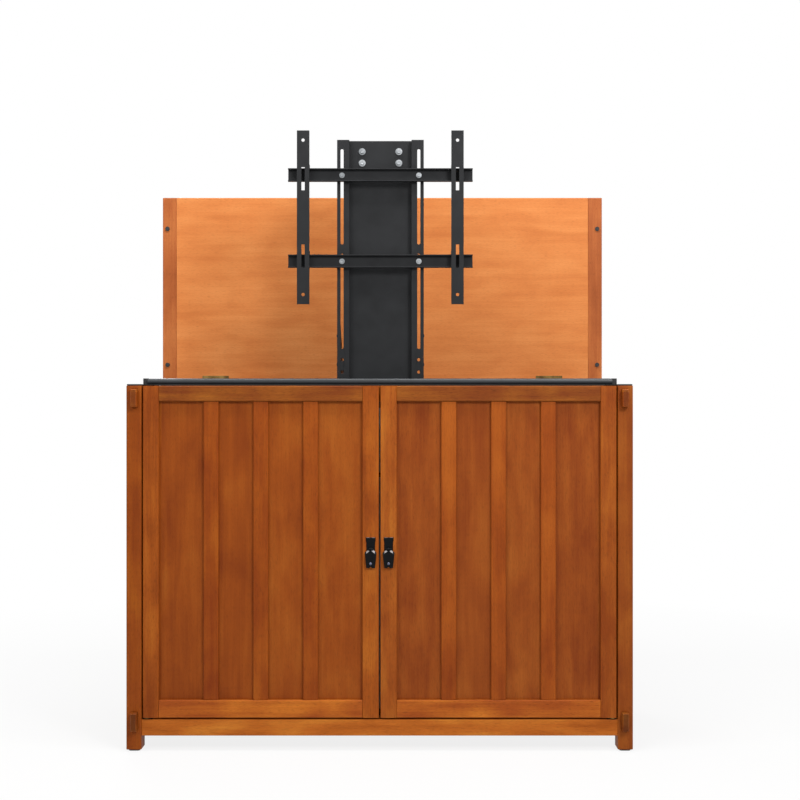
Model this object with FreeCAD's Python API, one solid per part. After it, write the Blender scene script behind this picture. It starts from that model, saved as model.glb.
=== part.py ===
import FreeCAD, Part
import math
import os

# A mission-style cabinet in stained hardwood with a television lift inside it. Four posts carry
# the rails and panels, two slatted doors close the front, and a hinged lid closes the top. A
# telescoping column on the floor board lifts a mast plate, which carries the arms for the
# television and a deck for the boxes that belong to it.
#
# Millimetres. +X is to the right seen from the front, +Y to the back and +Z up. The pieces are
# drawn with the floor at z = 0, the front faces of the posts at y = 0 and the middle at x = 0,
# in the pose with the lift up, the lid standing open behind it and the doors shut.
# save() moves each one back by origin_y, which puts the origin under the middle of the object.

# ---- Posts, rails and panels ----
cabinet_width = 1270.0
cabinet_depth = 533.0
post_top = 916.0
post_width = 38.0
post_depth = 50.0
post_edge = 2.0
pad_height = 4.0
pad_inset = 1.0
glide_height = 4.0
glide_inset = 5.0

rail_thickness = 22.0
rail_setback = 3.0
side_setback = 7.0
bottom_rail_low = 38.0
bottom_rail_height = 41.0
side_bottom_height = 66.0
side_top_height = 60.0
rear_top_height = 60.0
rear_rail_thickness = 26.0
front_top_height = 40.0
front_top_thickness = 20.0
front_top_gap = 4.0
stub_length = 8.0
stub_thickness = 10.0
stub_shoulder = 5.0

tenon_width = 16.0
tenon_inset = 2.0
tenon_height = 45.0
tenon_proud = 19.0
tenon_chamfer = 2.0
blind_tenon = 35.0

panel_thickness = 6.0
groove_depth = 6.0
panel_play = 1.0
slat_width = 38.0
slat_thickness = 8.0
slat_edge = 1.5
side_slat_setback = 2.0
side_slat_pitch = 112.0
back_panel_cover = 10.0
cable_slot_width = 120.0
cable_slot_height = 50.0
cable_slot_rise = 70.0
cable_slot_corner = 5.0

floor_thickness = 15.0
floor_rise = 6.0
floor_groove = 8.0
floor_play = 0.5

# ---- Doors ----
door_thickness = 20.0
door_recess = 2.0
door_side_gap = 3.0
door_meeting_gap = 4.0
door_top_gap = 0.5
door_bottom_gap = 4.0
hinge_stile_width = 40.0
meeting_stile_width = 41.0
door_top_rail = 39.0
door_bottom_rail = 44.0
door_groove = 8.0
door_panel_recess = 11.0
door_slat_setback = 3.0
door_slat_pitch = 125.0
door_edge = 1.5

pivot_inset_x = 9.0
pivot_inset_y = 6.0
pivot_radius = 3.0
pivot_length = 18.0
pivot_play = 0.05
pivot_end_gap = 1.0
pivot_plate = 2.0
pivot_plate_width = 24.0
pivot_plate_setback = 1.0
washer_radius = 7.0
washer_gap = 0.1

catch_half_length = 34.0
catch_height = 16.0
catch_depth = 20.0
catch_corner = 2.0
catch_margin = 4.0
strike_thickness = 1.2
strike_gap = 0.3
strike_height = 12.0
strike_from_edge = 10.0

# ---- Pulls ----
pull_top = 535.5
pull_axis_drop = 29.5
pull_length = 76.0
pull_plate_thickness = 2.5
pull_flare_half = 12.5
pull_flare_end = 8.0
pull_neck_half = 10.0
pull_neck_start = 13.0
pull_neck_below_pin = 4.0
pull_back_half = 8.0
pull_back_below_pin = 9.0
pull_back_from_foot = 12.0
pull_lug_half = 2.4
pull_lug_radius = 3.4
pull_stand_off = 4.5
pull_pin_radius = 1.5
pull_pin_play = 0.05
pendant_thickness = 5.0
pendant_side_play = 0.4
pendant_barrel_end = 7.0
pendant_slot_play = 0.5
pendant_top_below_pin = 2.0
pendant_shoulder_half = 14.5
pendant_shoulder_drop = 8.0
pendant_shoulder_height = 3.0
pendant_foot_half = 11.0
pendant_chamfer = 1.6
pendant_notch = 3.5

# ---- Lid ----
lid_thickness = 22.0
lid_overhang = 10.0
lid_end_width = 40.0
lid_tongue = 8.0
lid_tongue_thickness = 7.0
lid_edge = 2.0
lid_bumper_radius = 6.0
lid_bumper_height = 3.8
lid_bumper_back = 60.0
lid_bumper_front = 80.0
lid_bumper_inset = 7.0

knuckle_radius = 4.0
knuckle_gap = 0.4
hinge_length = 76.0
hinge_knuckles = 3
hinge_leaf = 1.8
hinge_leaf_width = 28.0
hinge_pin_radius = 2.0
hinge_pin_play = 0.05
hinge_from_post = 115.0

# ---- Lift column ----
column_y = 232.0
column_width = 150.0
column_depth = 110.0
column_wall = 4.0
column_corner = 6.0
column_slack = 6.0
column_groove_width = 8.0
column_groove_depth = 1.5
column_overlap = 170.0
guide_gap = 0.3
guide_skirt = 40.0
guide_cap = 12.0
guide_lip = 4.0
stage_gap = 6.0
bearing_gap = 2.0
nut_gap = 3.0
screw_end_gap = 36.0

base_half_width = 110.0
base_front = 140.0
base_back = 400.0
base_thickness = 8.0
base_corner = 12.0
bearing_height = 18.0
bearing_half = 30.0
bearing_floor = 6.0
journal_radius = 6.0
screw_radius = 8.0
screw_play = 0.05
screw_seat_gap = 0.5
nut_plate = 12.0
nut_barrel_radius = 17.0
nut_barrel_height = 23.0

gearbox_half_width = 42.0
gearbox_depth = 78.0
gearbox_height = 62.0
gearbox_corner = 8.0
gearbox_ribs = 3
gearbox_rib_proud = 3.0
gearbox_rib_height = 4.0
gearbox_rib_inset = 12.0
motor_radius = 36.0
motor_height = 130.0
motor_cap_radius = 12.0
motor_cap_height = 6.0
control_half_width = 70.0
control_depth = 40.0
control_height = 75.0
control_gap = 6.0
control_corner = 4.0
inlet_half_width = 14.0
inlet_height = 20.0
inlet_depth = 12.0
inlet_rise = 18.0
socket_width = 9.0
socket_height = 12.0
socket_depth = 8.0
socket_rise = 50.0
socket_first = 30.0
socket_pitch = 16.0

# ---- Mast, deck and television arms ----
deck_lowered_gap = 12.0
deck_raised_above_post = 19.0
deck_thickness = 16.0
deck_front_gap = 3.0
deck_back_gap = 3.0
deck_edge = 2.5
deck_slot_half = 90.0
deck_slot_front = 164.0
deck_slot_corner = 10.0
bumper_proud = 12.5
bumper_length = 20.0
bumper_from_corner = 6.0
bumper_play = 2.0
bumper_round = 5.0

mast_front = 140.0
mast_sheet = 3.0
mast_half_width = 113.0
mast_web_half = 84.0
mast_step = 20.0
mast_lip = 12.0
mast_hole_radius = 4.0
mast_hole_half_spacing = 100.0
mast_hole_pitch = 32.0
mast_first_hole = 18.0
mast_slots = 2
mast_slot_gap = 24.0
mast_slot_flat = 0.05
head_plate = 8.0
head_half_width = 70.0
head_flange = 6.0
head_flange_height = 70.0
head_back_margin = 3.0
head_corner = 5.0

bracket_thickness = 4.0
bracket_height = 150.0
bracket_tip = 22.0
bracket_foot = 14.0
bracket_from_back = 80.0

vesa_half_spacing = 200.0
vesa_hole_radius = 4.25
vesa_slot_half = 30.0
vesa_rail_half_length = 240.0
vesa_rail_half_height = 17.0
vesa_rail_depth = 13.0
vesa_rails_apart = 224.0
vesa_rail_from_top = 93.0
vesa_arm_width = 32.0
vesa_arm_depth = 11.0
vesa_arm_half_length = 225.0
vesa_sheet = 2.5
hook_depth = 6.0
hook_rise = 10.0
hook_drop = 14.0
hook_play = 0.3

# ---- Places worked out from the sizes above ----
half_width = cabinet_width / 2
post_in = half_width - post_width
post_mid = half_width - post_width / 2
rear_post_front = cabinet_depth - post_depth
rest_height = post_top + pad_height

side_rail_out = half_width - side_setback
side_rail_in = side_rail_out - rail_thickness
side_panel_out = side_rail_out - side_slat_setback - slat_thickness
side_panel_in = side_panel_out - panel_thickness
side_bottom_top = bottom_rail_low + side_bottom_height
side_top_low = post_top - side_top_height
tenon_out = post_mid - tenon_inset + tenon_width / 2
tenon_in = tenon_out - tenon_width
low_tenon_top = side_bottom_top - groove_depth
low_tenon_low = low_tenon_top - tenon_height
high_tenon_low = side_top_low + groove_depth
high_tenon_top = high_tenon_low + tenon_height

bottom_rail_top = bottom_rail_low + bottom_rail_height
front_rail_back = rail_setback + rail_thickness
rear_rail_back = cabinet_depth - rail_setback
rear_rail_front = rear_rail_back - rear_rail_thickness
rear_top_low = post_top - rear_top_height
back_panel_back = rear_rail_back - back_panel_cover
back_panel_front = back_panel_back - panel_thickness
floor_low = bottom_rail_low + floor_rise
floor_top = floor_low + floor_thickness

door_back = door_recess + door_thickness
door_low = bottom_rail_top + door_bottom_gap
door_high = post_top - door_top_gap
door_out = post_in - door_side_gap
door_in = door_meeting_gap / 2
hinge_stile_in = door_out - hinge_stile_width
meeting_stile_out = door_in + meeting_stile_width
door_panel_front = door_recess + door_panel_recess
door_panel_back = door_panel_front + panel_thickness
panel_low = door_low + door_bottom_rail
panel_high = door_high - door_top_rail
pivot_x = door_out - pivot_inset_x
pivot_y = door_recess + pivot_inset_y
front_top_front = door_back + front_top_gap
front_top_back = front_top_front + front_top_thickness
front_top_low = post_top - front_top_height

pull_x = (door_in + meeting_stile_out) / 2
pull_axis_z = pull_top - pull_axis_drop
pull_face = door_recess - pull_plate_thickness
pull_axis_y = pull_face - pull_stand_off

hinge_y = cabinet_depth + knuckle_radius
hinge_z = post_top + pad_height / 2
lid_panel_half = half_width - lid_end_width

middle_width = column_width - 2 * (column_wall + column_slack)
middle_depth = column_depth - 2 * (column_wall + column_slack)
inner_width = middle_width - 2 * (column_wall + column_slack)
inner_depth = middle_depth - 2 * (column_wall + column_slack)
base_top = floor_top + base_thickness
deck_lowered = base_top + deck_lowered_gap
deck_top = post_top + deck_raised_above_post
deck_low = deck_top - deck_thickness
stage_travel = (deck_low - deck_lowered) / 2
middle_low = base_top + bearing_height + bearing_gap
inner_low = middle_low + nut_plate + nut_gap
outer_top = middle_low + stage_travel + column_overlap
middle_top = outer_top + guide_cap + stage_gap
inner_top = middle_top + guide_cap + stage_gap / 2
screw_top = outer_top - screw_end_gap
outer_back = column_y + column_depth / 2

deck_front = post_depth + deck_front_gap
deck_back = rear_post_front - deck_back_gap
deck_half = side_rail_in - bumper_play - bumper_proud
raised_top = inner_top + 2 * stage_travel
mast_top = raised_top + head_plate
mast_web_back = mast_front + mast_step
bracket_out = mast_half_width - mast_sheet
bracket_back = deck_back - bracket_from_back
first_hole_z = deck_top + mast_first_hole
high_rail_z = mast_top - vesa_rail_from_top
low_rail_z = high_rail_z - vesa_rails_apart
vesa_z = (high_rail_z + low_rail_z) / 2
vesa_rail_front = mast_front - vesa_rail_depth
vesa_front = vesa_rail_front - vesa_arm_depth

origin_y = (hinge_y + pad_height / 2 + lid_thickness - tenon_proud) / 2

X = FreeCAD.Vector(1, 0, 0)
Y = FreeCAD.Vector(0, 1, 0)
Z = FreeCAD.Vector(0, 0, 1)
ORIGIN = FreeCAD.Vector(0, 0, 0)


# ---- Shapes ----
def block(x0, x1, y0, y1, z0, z1):
    """A rectangular block between two opposite corners."""
    return Part.makeBox(x1 - x0, y1 - y0, z1 - z0, FreeCAD.Vector(x0, y0, z0))


def rod(radius, length, x, y, z, axis=Z):
    """A round bar that starts at a point and runs along an axis."""
    return Part.makeCylinder(radius, length, FreeCAD.Vector(x, y, z), axis)


def prism(points, along, length):
    """A flat outline of (x, y, z) points, carried along an axis."""
    corners = [FreeCAD.Vector(*p) for p in points + points[:1]]
    return Part.Face(Part.makePolygon(corners)).extrude(along * length)


def runs_along(edge, axis):
    """Whether a straight edge is parallel to an axis."""
    if not isinstance(edge.Curve, Part.Line):
        return False
    return abs(abs(edge.Curve.Direction.dot(axis)) - 1) < 1e-6


def lies_in(edge, axis, place):
    """Whether the whole edge lies in the plane at a place along an axis."""
    return all(abs(v.Point.dot(axis) - place) < 1e-6 for v in edge.Vertexes)


def eased(shape, radius, axis):
    """Round every edge that is parallel to an axis."""
    return shape.makeFillet(radius, [e for e in shape.Edges if runs_along(e, axis)])


def planed(shape, size, axis):
    """Take the sharp corner off every edge that is parallel to an axis."""
    return shape.makeChamfer(size, [e for e in shape.Edges if runs_along(e, axis)])


def front_edges(shape, axis, front):
    """The edges that are parallel to an axis and lie in the plane y = front."""
    return [e for e in shape.Edges if runs_along(e, axis) and lies_in(e, Y, front)]


def planed_front(shape, size, axis, front):
    """Take the sharp corner off the edges along an axis at the front."""
    return shape.makeChamfer(size, front_edges(shape, axis, front))


def bevelled(shape, size, axis, place):
    """Bevel the rim of the flat face at a place along an axis."""
    return shape.makeChamfer(size, [e for e in shape.Edges if lies_in(e, axis, place)])


def mirrored(shape):
    """The same piece on the other side of x = 0."""
    return shape.mirror(ORIGIN, X)


def both_sides(shape):
    """A piece on the right and its mirror image on the left, as one list."""
    return [shape, mirrored(shape)]


def joined(shapes):
    """One solid out of shapes that touch or cross."""
    return shapes[0].multiFuse(shapes[1:]).removeSplitter()


def without(shape, tools):
    """A shape with the tools cut out of it."""
    return shape.cut(Part.makeCompound(tools))


def save(name, *solids):
    """Write one node, moved to the object's own origin."""
    shape = solids[0] if len(solids) == 1 else Part.makeCompound(list(solids))
    shape = shape.copy()
    shape.translate(FreeCAD.Vector(0, -origin_y, 0))
    shape.exportStep("parts/" + name + ".step")


# ---- Posts ----
def side_tenons(y0, y1):
    """The tenons of the right side's rails between two depths: the lower and the upper one."""
    return [
        block(tenon_in, tenon_out, y0, y1, low_tenon_low, low_tenon_top),
        block(tenon_in, tenon_out, y0, y1, high_tenon_low, high_tenon_top),
    ]


def stub(y0, y1, z0, z1):
    """The short tenon on the right end of a cross rail with this section."""
    middle = (y0 + y1) / 2
    half = stub_thickness / 2
    return block(
        post_in, post_in + stub_length, middle - half, middle + half, z0 + stub_shoulder, z1 - stub_shoulder
    )


def front_stubs():
    return [
        stub(rail_setback, front_rail_back, bottom_rail_low, bottom_rail_top),
        stub(front_top_front, front_top_back, front_top_low, post_top),
    ]


def rear_stubs():
    return [
        stub(rear_rail_front, rear_rail_back, bottom_rail_low, bottom_rail_top),
        stub(rear_rail_front, rear_rail_back, rear_top_low, post_top),
    ]


def side_panel_groove(y0, y1):
    """The slot for the right side panel, from the lower rail's groove to the upper one's."""
    low = side_bottom_top - groove_depth
    high = side_top_low + groove_depth
    return block(side_panel_in, side_panel_out, y0, y1, low, high)


def front_post():
    wood = planed(block(post_in, half_width, 0, post_depth, glide_height, post_top), post_edge, Z)
    groove = side_panel_groove(post_depth - groove_depth, post_depth)
    return without(wood, side_tenons(0, post_depth) + front_stubs() + [groove])


def rear_post():
    wood = block(post_in, half_width, rear_post_front, cabinet_depth, glide_height, post_top)
    wood = planed(wood, post_edge, Z)
    side_groove = side_panel_groove(rear_post_front, rear_post_front + groove_depth)
    back_groove = block(
        post_in,
        post_in + groove_depth,
        back_panel_front,
        back_panel_back,
        bottom_rail_top - groove_depth,
        rear_top_low + groove_depth,
    )
    tenons = side_tenons(rear_post_front, rear_post_front + blind_tenon)
    return without(wood, tenons + rear_stubs() + [side_groove, back_groove])


def build_posts():
    save("front_right_post", front_post())
    save("front_left_post", mirrored(front_post()))
    save("rear_right_post", rear_post())
    save("rear_left_post", mirrored(rear_post()))
    pads = []
    glides = []
    for y0 in (0, rear_post_front):
        y1 = y0 + post_depth
        x0 = post_in + pad_inset
        x1 = half_width - pad_inset
        pads += both_sides(block(x0, x1, y0 + pad_inset, y1 - pad_inset, post_top, rest_height))
        x0 = post_in + glide_inset
        x1 = half_width - glide_inset
        glides += both_sides(block(x0, x1, y0 + glide_inset, y1 - glide_inset, 0, glide_height))
    save("post_pads", *pads)
    save("foot_glides", *glides)


# ---- Sides ----
def side_rail(z0, z1, tenon):
    """One rail of the right side: its front tenon shows through the post, its rear one is blind."""
    rail = block(side_rail_in, side_rail_out, post_depth, rear_post_front, z0, z1)
    front = block(tenon_in, tenon_out, -tenon_proud, post_depth, *tenon)
    front = bevelled(front, tenon_chamfer, Y, -tenon_proud)
    rear = block(tenon_in, tenon_out, rear_post_front, rear_post_front + blind_tenon, *tenon)
    return joined([rail, front, rear])


def build_sides():
    panel_groove = side_panel_groove(post_depth, rear_post_front)
    floor_slot = block(
        side_rail_in, side_rail_in + floor_groove, post_depth, rear_post_front, floor_low, floor_top
    )
    low = side_rail(bottom_rail_low, side_bottom_top, (low_tenon_low, low_tenon_top))
    low = without(low, [panel_groove, floor_slot])
    high = side_rail(side_top_low, post_top, (high_tenon_low, high_tenon_top))
    high = without(high, [panel_groove])
    save("right_side_rails", low, high)
    save("left_side_rails", mirrored(low), mirrored(high))

    reach = groove_depth - panel_play
    panel = block(
        side_panel_in,
        side_panel_out,
        post_depth - reach,
        rear_post_front + reach,
        side_bottom_top - reach,
        side_top_low + reach,
    )
    save("side_panels", *both_sides(panel))

    middle = cabinet_depth / 2
    slats = []
    for step in (-1, 0, 1):
        y0 = middle + step * side_slat_pitch - slat_width / 2
        face = side_panel_out + slat_thickness
        slat = block(side_panel_out, face, y0, y0 + slat_width, side_bottom_top, side_top_low)
        edges = [e for e in slat.Edges if runs_along(e, Z) and lies_in(e, X, face)]
        slats += both_sides(slat.makeChamfer(slat_edge, edges))
    save("side_slats", *slats)


# ---- Rails between the posts, back and floor ----
def cross_rail(y0, y1, z0, z1):
    """A rail from post to post with a short tenon on each end."""
    rail = block(-post_in, post_in, y0, y1, z0, z1)
    return joined([rail] + both_sides(stub(y0, y1, z0, z1)))


def build_rails():
    front_low = cross_rail(rail_setback, front_rail_back, bottom_rail_low, bottom_rail_top)
    front_low = planed_front(front_low, door_edge, X, rail_setback)
    front_floor_slot = block(
        -post_in, post_in, front_rail_back - floor_groove, front_rail_back, floor_low, floor_top
    )
    save("front_bottom_rail", without(front_low, [front_floor_slot]))
    save("front_top_rail", cross_rail(front_top_front, front_top_back, front_top_low, post_top))

    panel_slot = block(
        -post_in,
        post_in,
        back_panel_front,
        back_panel_back,
        bottom_rail_top - groove_depth,
        rear_top_low + groove_depth,
    )
    rear_floor_slot = block(
        -post_in, post_in, rear_rail_front, rear_rail_front + floor_groove, floor_low, floor_top
    )
    rear_low = cross_rail(rear_rail_front, rear_rail_back, bottom_rail_low, bottom_rail_top)
    rear_high = cross_rail(rear_rail_front, rear_rail_back, rear_top_low, post_top)
    save("rear_rails", without(rear_low, [panel_slot, rear_floor_slot]), without(rear_high, [panel_slot]))


def build_back():
    reach = groove_depth - panel_play
    panel = block(
        -post_in - reach,
        post_in + reach,
        back_panel_front,
        back_panel_back,
        bottom_rail_top - reach,
        rear_top_low + reach,
    )
    slot_low = bottom_rail_top + cable_slot_rise
    slot = block(
        -cable_slot_width / 2,
        cable_slot_width / 2,
        back_panel_front,
        back_panel_back,
        slot_low,
        slot_low + cable_slot_height,
    )
    slot = eased(slot, cable_slot_corner, Y)
    save("back_panel", without(panel, [slot]))


def build_floor():
    reach = floor_groove - floor_play
    board = block(
        -side_rail_in - reach,
        side_rail_in + reach,
        front_rail_back - reach,
        rear_rail_front + reach,
        floor_low,
        floor_top,
    )
    corners = []
    for y0, y1 in ((0, post_depth + floor_play), (rear_post_front - floor_play, cabinet_depth)):
        corners += both_sides(block(post_in - floor_play, half_width, y0, y1, floor_low, floor_top))
    save("floor_board", without(board, corners))


# ---- Doors ----
def door_stile(x0, x1, groove_x0, groove_x1):
    """An upright of the right door, grooved for the panel and the rails' tenons."""
    stile = block(x0, x1, door_recess, door_back, door_low, door_high)
    stile = planed_front(stile, door_edge, Z, door_recess)
    groove = block(
        groove_x0,
        groove_x1,
        door_panel_front,
        door_panel_back,
        door_low + stub_shoulder,
        door_high - stub_shoulder,
    )
    return without(stile, [groove])


def door_rail(z0, z1, tenon_z0, tenon_z1, groove_z0, groove_z1):
    """A rail of the right door with a tenon on each end and a groove for the panel."""
    rail = block(meeting_stile_out, hinge_stile_in, door_recess, door_back, z0, z1)
    rail = planed_front(rail, door_edge, X, door_recess)
    tenon = block(
        meeting_stile_out - door_groove,
        hinge_stile_in + door_groove,
        door_panel_front,
        door_panel_back,
        tenon_z0,
        tenon_z1,
    )
    groove = block(
        meeting_stile_out, hinge_stile_in, door_panel_front, door_panel_back, groove_z0, groove_z1
    )
    return without(joined([rail, tenon]), [groove])


def door_woodwork():
    """The right door's stiles, rails, panel and slats, as four lists."""
    hinge_stile = door_stile(hinge_stile_in, door_out, hinge_stile_in, hinge_stile_in + door_groove)
    pockets = [
        rod(pivot_radius + pivot_play, pivot_length, pivot_x, pivot_y, door_low),
        rod(pivot_radius + pivot_play, pivot_length, pivot_x, pivot_y, door_high - pivot_length),
    ]
    hinge_stile = without(hinge_stile, pockets)
    meeting_stile = door_stile(
        door_in, meeting_stile_out, meeting_stile_out - door_groove, meeting_stile_out
    )
    low = door_rail(
        door_low,
        panel_low,
        door_low + stub_shoulder,
        panel_low - door_groove,
        panel_low - door_groove,
        panel_low,
    )
    high = door_rail(
        panel_high,
        door_high,
        panel_high + door_groove,
        door_high - stub_shoulder,
        panel_high,
        panel_high + door_groove,
    )
    reach = door_groove - panel_play
    panel = block(
        meeting_stile_out - reach,
        hinge_stile_in + reach,
        door_panel_front,
        door_panel_back,
        panel_low - reach,
        panel_high + reach,
    )
    slat_front = door_recess + door_slat_setback
    middle = (meeting_stile_out + hinge_stile_in) / 2
    slats = []
    for step in (-1, 0, 1):
        x0 = middle + step * door_slat_pitch - slat_width / 2
        slat = block(x0, x0 + slat_width, slat_front, door_panel_front, panel_low, panel_high)
        slats.append(planed_front(slat, slat_edge, Z, slat_front))
    return [hinge_stile, meeting_stile], [low, high], [panel], slats


def door_fittings():
    """The washer that the right door turns on, and the plate that its magnetic catch holds."""
    washer_low = bottom_rail_top + pivot_plate + washer_gap
    washer_height = door_low - washer_low
    washer = rod(washer_radius, washer_height, pivot_x, pivot_y, washer_low)
    bore = rod(pivot_radius + pivot_play, washer_height, pivot_x, pivot_y, washer_low)
    strike_high = front_top_low - strike_thickness
    strike = block(
        door_in + strike_from_edge,
        catch_half_length - catch_margin,
        door_back,
        door_back + strike_thickness,
        strike_high - strike_height,
        strike_high,
    )
    return [without(washer, [bore]), strike]


def pivot_plates():
    """The fixed plates with the right door's lower and upper pivot pins."""
    x0 = door_out - pivot_plate_width
    low_front = rail_setback + pivot_plate_setback
    low_top = bottom_rail_top + pivot_plate
    low_plate = block(x0, door_out, low_front, front_rail_back, bottom_rail_top, low_top)
    high_front = door_recess + pivot_plate_setback
    high_plate = block(x0, door_out, high_front, front_top_back, post_top, post_top + pivot_plate)
    pin = pivot_length - pivot_end_gap
    low_pin = rod(pivot_radius, pin, pivot_x, pivot_y, low_top)
    high_pin = rod(pivot_radius, pin, pivot_x, pivot_y, post_top - pin)
    return [joined([low_plate, low_pin]), joined([high_plate, high_pin])]


def pull_plate():
    """The right pull's back plate with its lug and the pin that the pendant hangs on."""
    half_outline = [
        (pull_flare_half, pull_top),
        (pull_flare_half, pull_top - pull_flare_end),
        (pull_neck_half, pull_top - pull_neck_start),
        (pull_neck_half, pull_axis_z - pull_neck_below_pin),
        (pull_back_half, pull_axis_z - pull_back_below_pin),
        (pull_back_half, pull_top - pull_length + pull_back_from_foot),
    ]
    right = [(pull_x + dx, pull_face, z) for dx, z in half_outline]
    left = [(pull_x - dx, pull_face, z) for dx, z in reversed(half_outline)]
    plate = prism(right + left, Y, pull_plate_thickness)
    plate = bevelled(plate, pull_plate_thickness / 2, Y, pull_face)
    x0 = pull_x - pull_lug_half
    x1 = pull_x + pull_lug_half
    ear = rod(pull_lug_radius, x1 - x0, x0, pull_axis_y, pull_axis_z, X)
    foot = block(
        x0,
        x1,
        pull_axis_y,
        pull_face + pull_plate_thickness / 2,
        pull_axis_z - pull_lug_radius,
        pull_axis_z + pull_lug_radius,
    )
    reach = pendant_barrel_end
    pin = rod(pull_pin_radius, 2 * reach, pull_x - reach, pull_axis_y, pull_axis_z, X)
    return joined([plate, ear, foot, pin])


def pull_pendant():
    """The right pull's pendant: two knuckles, bevelled shoulders, a taper and a notched foot."""
    front = pull_axis_y - pendant_thickness / 2
    foot = pull_top - pull_length
    fork = pull_lug_half + pendant_side_play
    reach = pendant_barrel_end
    top = pull_axis_z - pendant_top_below_pin
    shoulder = pull_axis_z - pendant_shoulder_drop
    half_outline = [
        (fork, pull_axis_z - pull_lug_radius - pendant_slot_play),
        (fork, top),
        (reach, top),
        (pendant_shoulder_half, shoulder),
        (pendant_shoulder_half, shoulder - pendant_shoulder_height),
        (pendant_foot_half, foot),
        (pendant_notch, foot),
    ]
    right = [(pull_x + dx, front, z) for dx, z in half_outline]
    left = [(pull_x - dx, front, z) for dx, z in reversed(half_outline)]
    body = prism(right + [(pull_x, front, foot + pendant_notch)] + left, Y, pendant_thickness)
    parts = [bevelled(body, pendant_chamfer, Y, front)]
    for x0 in (pull_x - reach, pull_x + fork):
        knuckle = rod(pull_lug_radius, reach - fork, x0, pull_axis_y, pull_axis_z, X)
        bore = rod(pull_pin_radius + pull_pin_play, reach - fork, x0, pull_axis_y, pull_axis_z, X)
        parts.append(without(knuckle, [bore]))
    return joined(parts)


def build_doors():
    stiles, rails, panel, slats = door_woodwork()
    kinds = {
        "door_stiles": stiles,
        "door_rails": rails,
        "door_panel": panel,
        "door_slats": slats,
        "door_fittings": door_fittings(),
        "pull_plate": [pull_plate()],
        "pull_pendant": [pull_pendant()],
    }
    for kind, solids in kinds.items():
        save("right_" + kind, *solids)
        save("left_" + kind, *[mirrored(s) for s in solids])
    save("door_pivot_plates", *[s for p in pivot_plates() for s in both_sides(p)])
    catch_front = door_back + strike_thickness + strike_gap
    catch = block(
        -catch_half_length,
        catch_half_length,
        catch_front,
        catch_front + catch_depth,
        front_top_low - catch_height,
        front_top_low,
    )
    save("door_catch", planed(catch, catch_corner, Z))


# ---- Lid, drawn closed and then stood up about its hinge ----
def stood_up(shape):
    turned = shape.copy()
    turned.rotate(FreeCAD.Vector(0, hinge_y, hinge_z), X, -90)
    return turned


def hinge_places():
    reach = post_in - hinge_from_post
    return [-reach, 0, reach]


def hinge_leaf_with(x, knuckles, z0):
    """A leaf with some of the hinge's knuckles on it. Knuckle 0 is the leftmost."""
    pitch = hinge_length / hinge_knuckles
    start = x - hinge_length / 2
    leaf = block(start, start + hinge_length, cabinet_depth - hinge_leaf_width, hinge_y, z0, z0 + hinge_leaf)
    barrels = []
    gaps = []
    reach = knuckle_radius + knuckle_gap
    for k in range(hinge_knuckles):
        x0 = start + k * pitch + knuckle_gap / 2
        x1 = start + (k + 1) * pitch - knuckle_gap / 2
        if k in knuckles:
            barrels.append(rod(knuckle_radius, x1 - x0, x0, hinge_y, hinge_z, X))
        else:
            x0 -= knuckle_gap
            x1 += knuckle_gap
            gaps.append(block(x0, x1, hinge_y - reach, hinge_y, hinge_z - reach, hinge_z + reach))
    return joined([without(leaf, gaps)] + barrels)


def build_lid():
    z0 = rest_height
    z1 = rest_height + lid_thickness
    tongue_low = (z0 + z1 - lid_tongue_thickness) / 2
    tongue_high = tongue_low + lid_tongue_thickness
    panel = block(-lid_panel_half, lid_panel_half, -lid_overhang, cabinet_depth, z0, z1)
    panel = planed(panel, lid_edge, X)
    tongue = block(
        lid_panel_half,
        lid_panel_half + lid_tongue,
        0,
        cabinet_depth - lid_overhang,
        tongue_low,
        tongue_high,
    )
    save("lid_panel", stood_up(joined([panel] + both_sides(tongue))))

    end = block(lid_panel_half, half_width, -lid_overhang, cabinet_depth, z0, z1)
    end = planed(end, lid_edge, X)
    save("lid_ends", *[stood_up(e) for e in both_sides(without(end, [tongue]))])

    bumper_x = side_rail_out - lid_bumper_inset
    bumpers = [
        rod(lid_bumper_radius, lid_bumper_height, bumper_x, y, rest_height - lid_bumper_height)
        for y in (lid_bumper_front, cabinet_depth - lid_bumper_back)
    ]
    save("lid_bumpers", *[stood_up(s) for b in bumpers for s in both_sides(b)])

    fixed = []
    moving = []
    for x in hinge_places():
        low = x - hinge_length / 2 + knuckle_gap / 2
        pin = rod(hinge_pin_radius, hinge_length - knuckle_gap, low, hinge_y, hinge_z, X)
        fixed.append(joined([hinge_leaf_with(x, (0, 2), post_top), pin]))
        bore = rod(hinge_pin_radius + hinge_pin_play, hinge_length, x - hinge_length / 2, hinge_y, hinge_z, X)
        moving.append(stood_up(without(hinge_leaf_with(x, (1,), rest_height - hinge_leaf), [bore])))
    save("case_hinge_leaves", *fixed)
    save("lid_hinge_leaves", *moving)


# ---- Lift column ----
def column_block(width, depth, z0, z1):
    """An upright bar, centred on the column."""
    return block(-width / 2, width / 2, column_y - depth / 2, column_y + depth / 2, z0, z1)


def tube(width, depth, z0, z1):
    """A column profile with shallow grooves down its front, back and sides."""
    solid = eased(column_block(width, depth, z0, z1), column_corner, Z)
    hollow = column_block(width - 2 * column_wall, depth - 2 * column_wall, z0, z1)
    half = column_groove_width / 2
    front = column_y - depth / 2
    back = column_y + depth / 2
    grooves = []
    for x in (-width / 4, width / 4):
        grooves.append(block(x - half, x + half, front, front + column_groove_depth, z0, z1))
        grooves.append(block(x - half, x + half, back - column_groove_depth, back, z0, z1))
    side = block(
        width / 2 - column_groove_depth, width / 2, column_y - half, column_y + half, z0, z1
    )
    return without(solid, [hollow] + grooves + both_sides(side))


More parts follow.
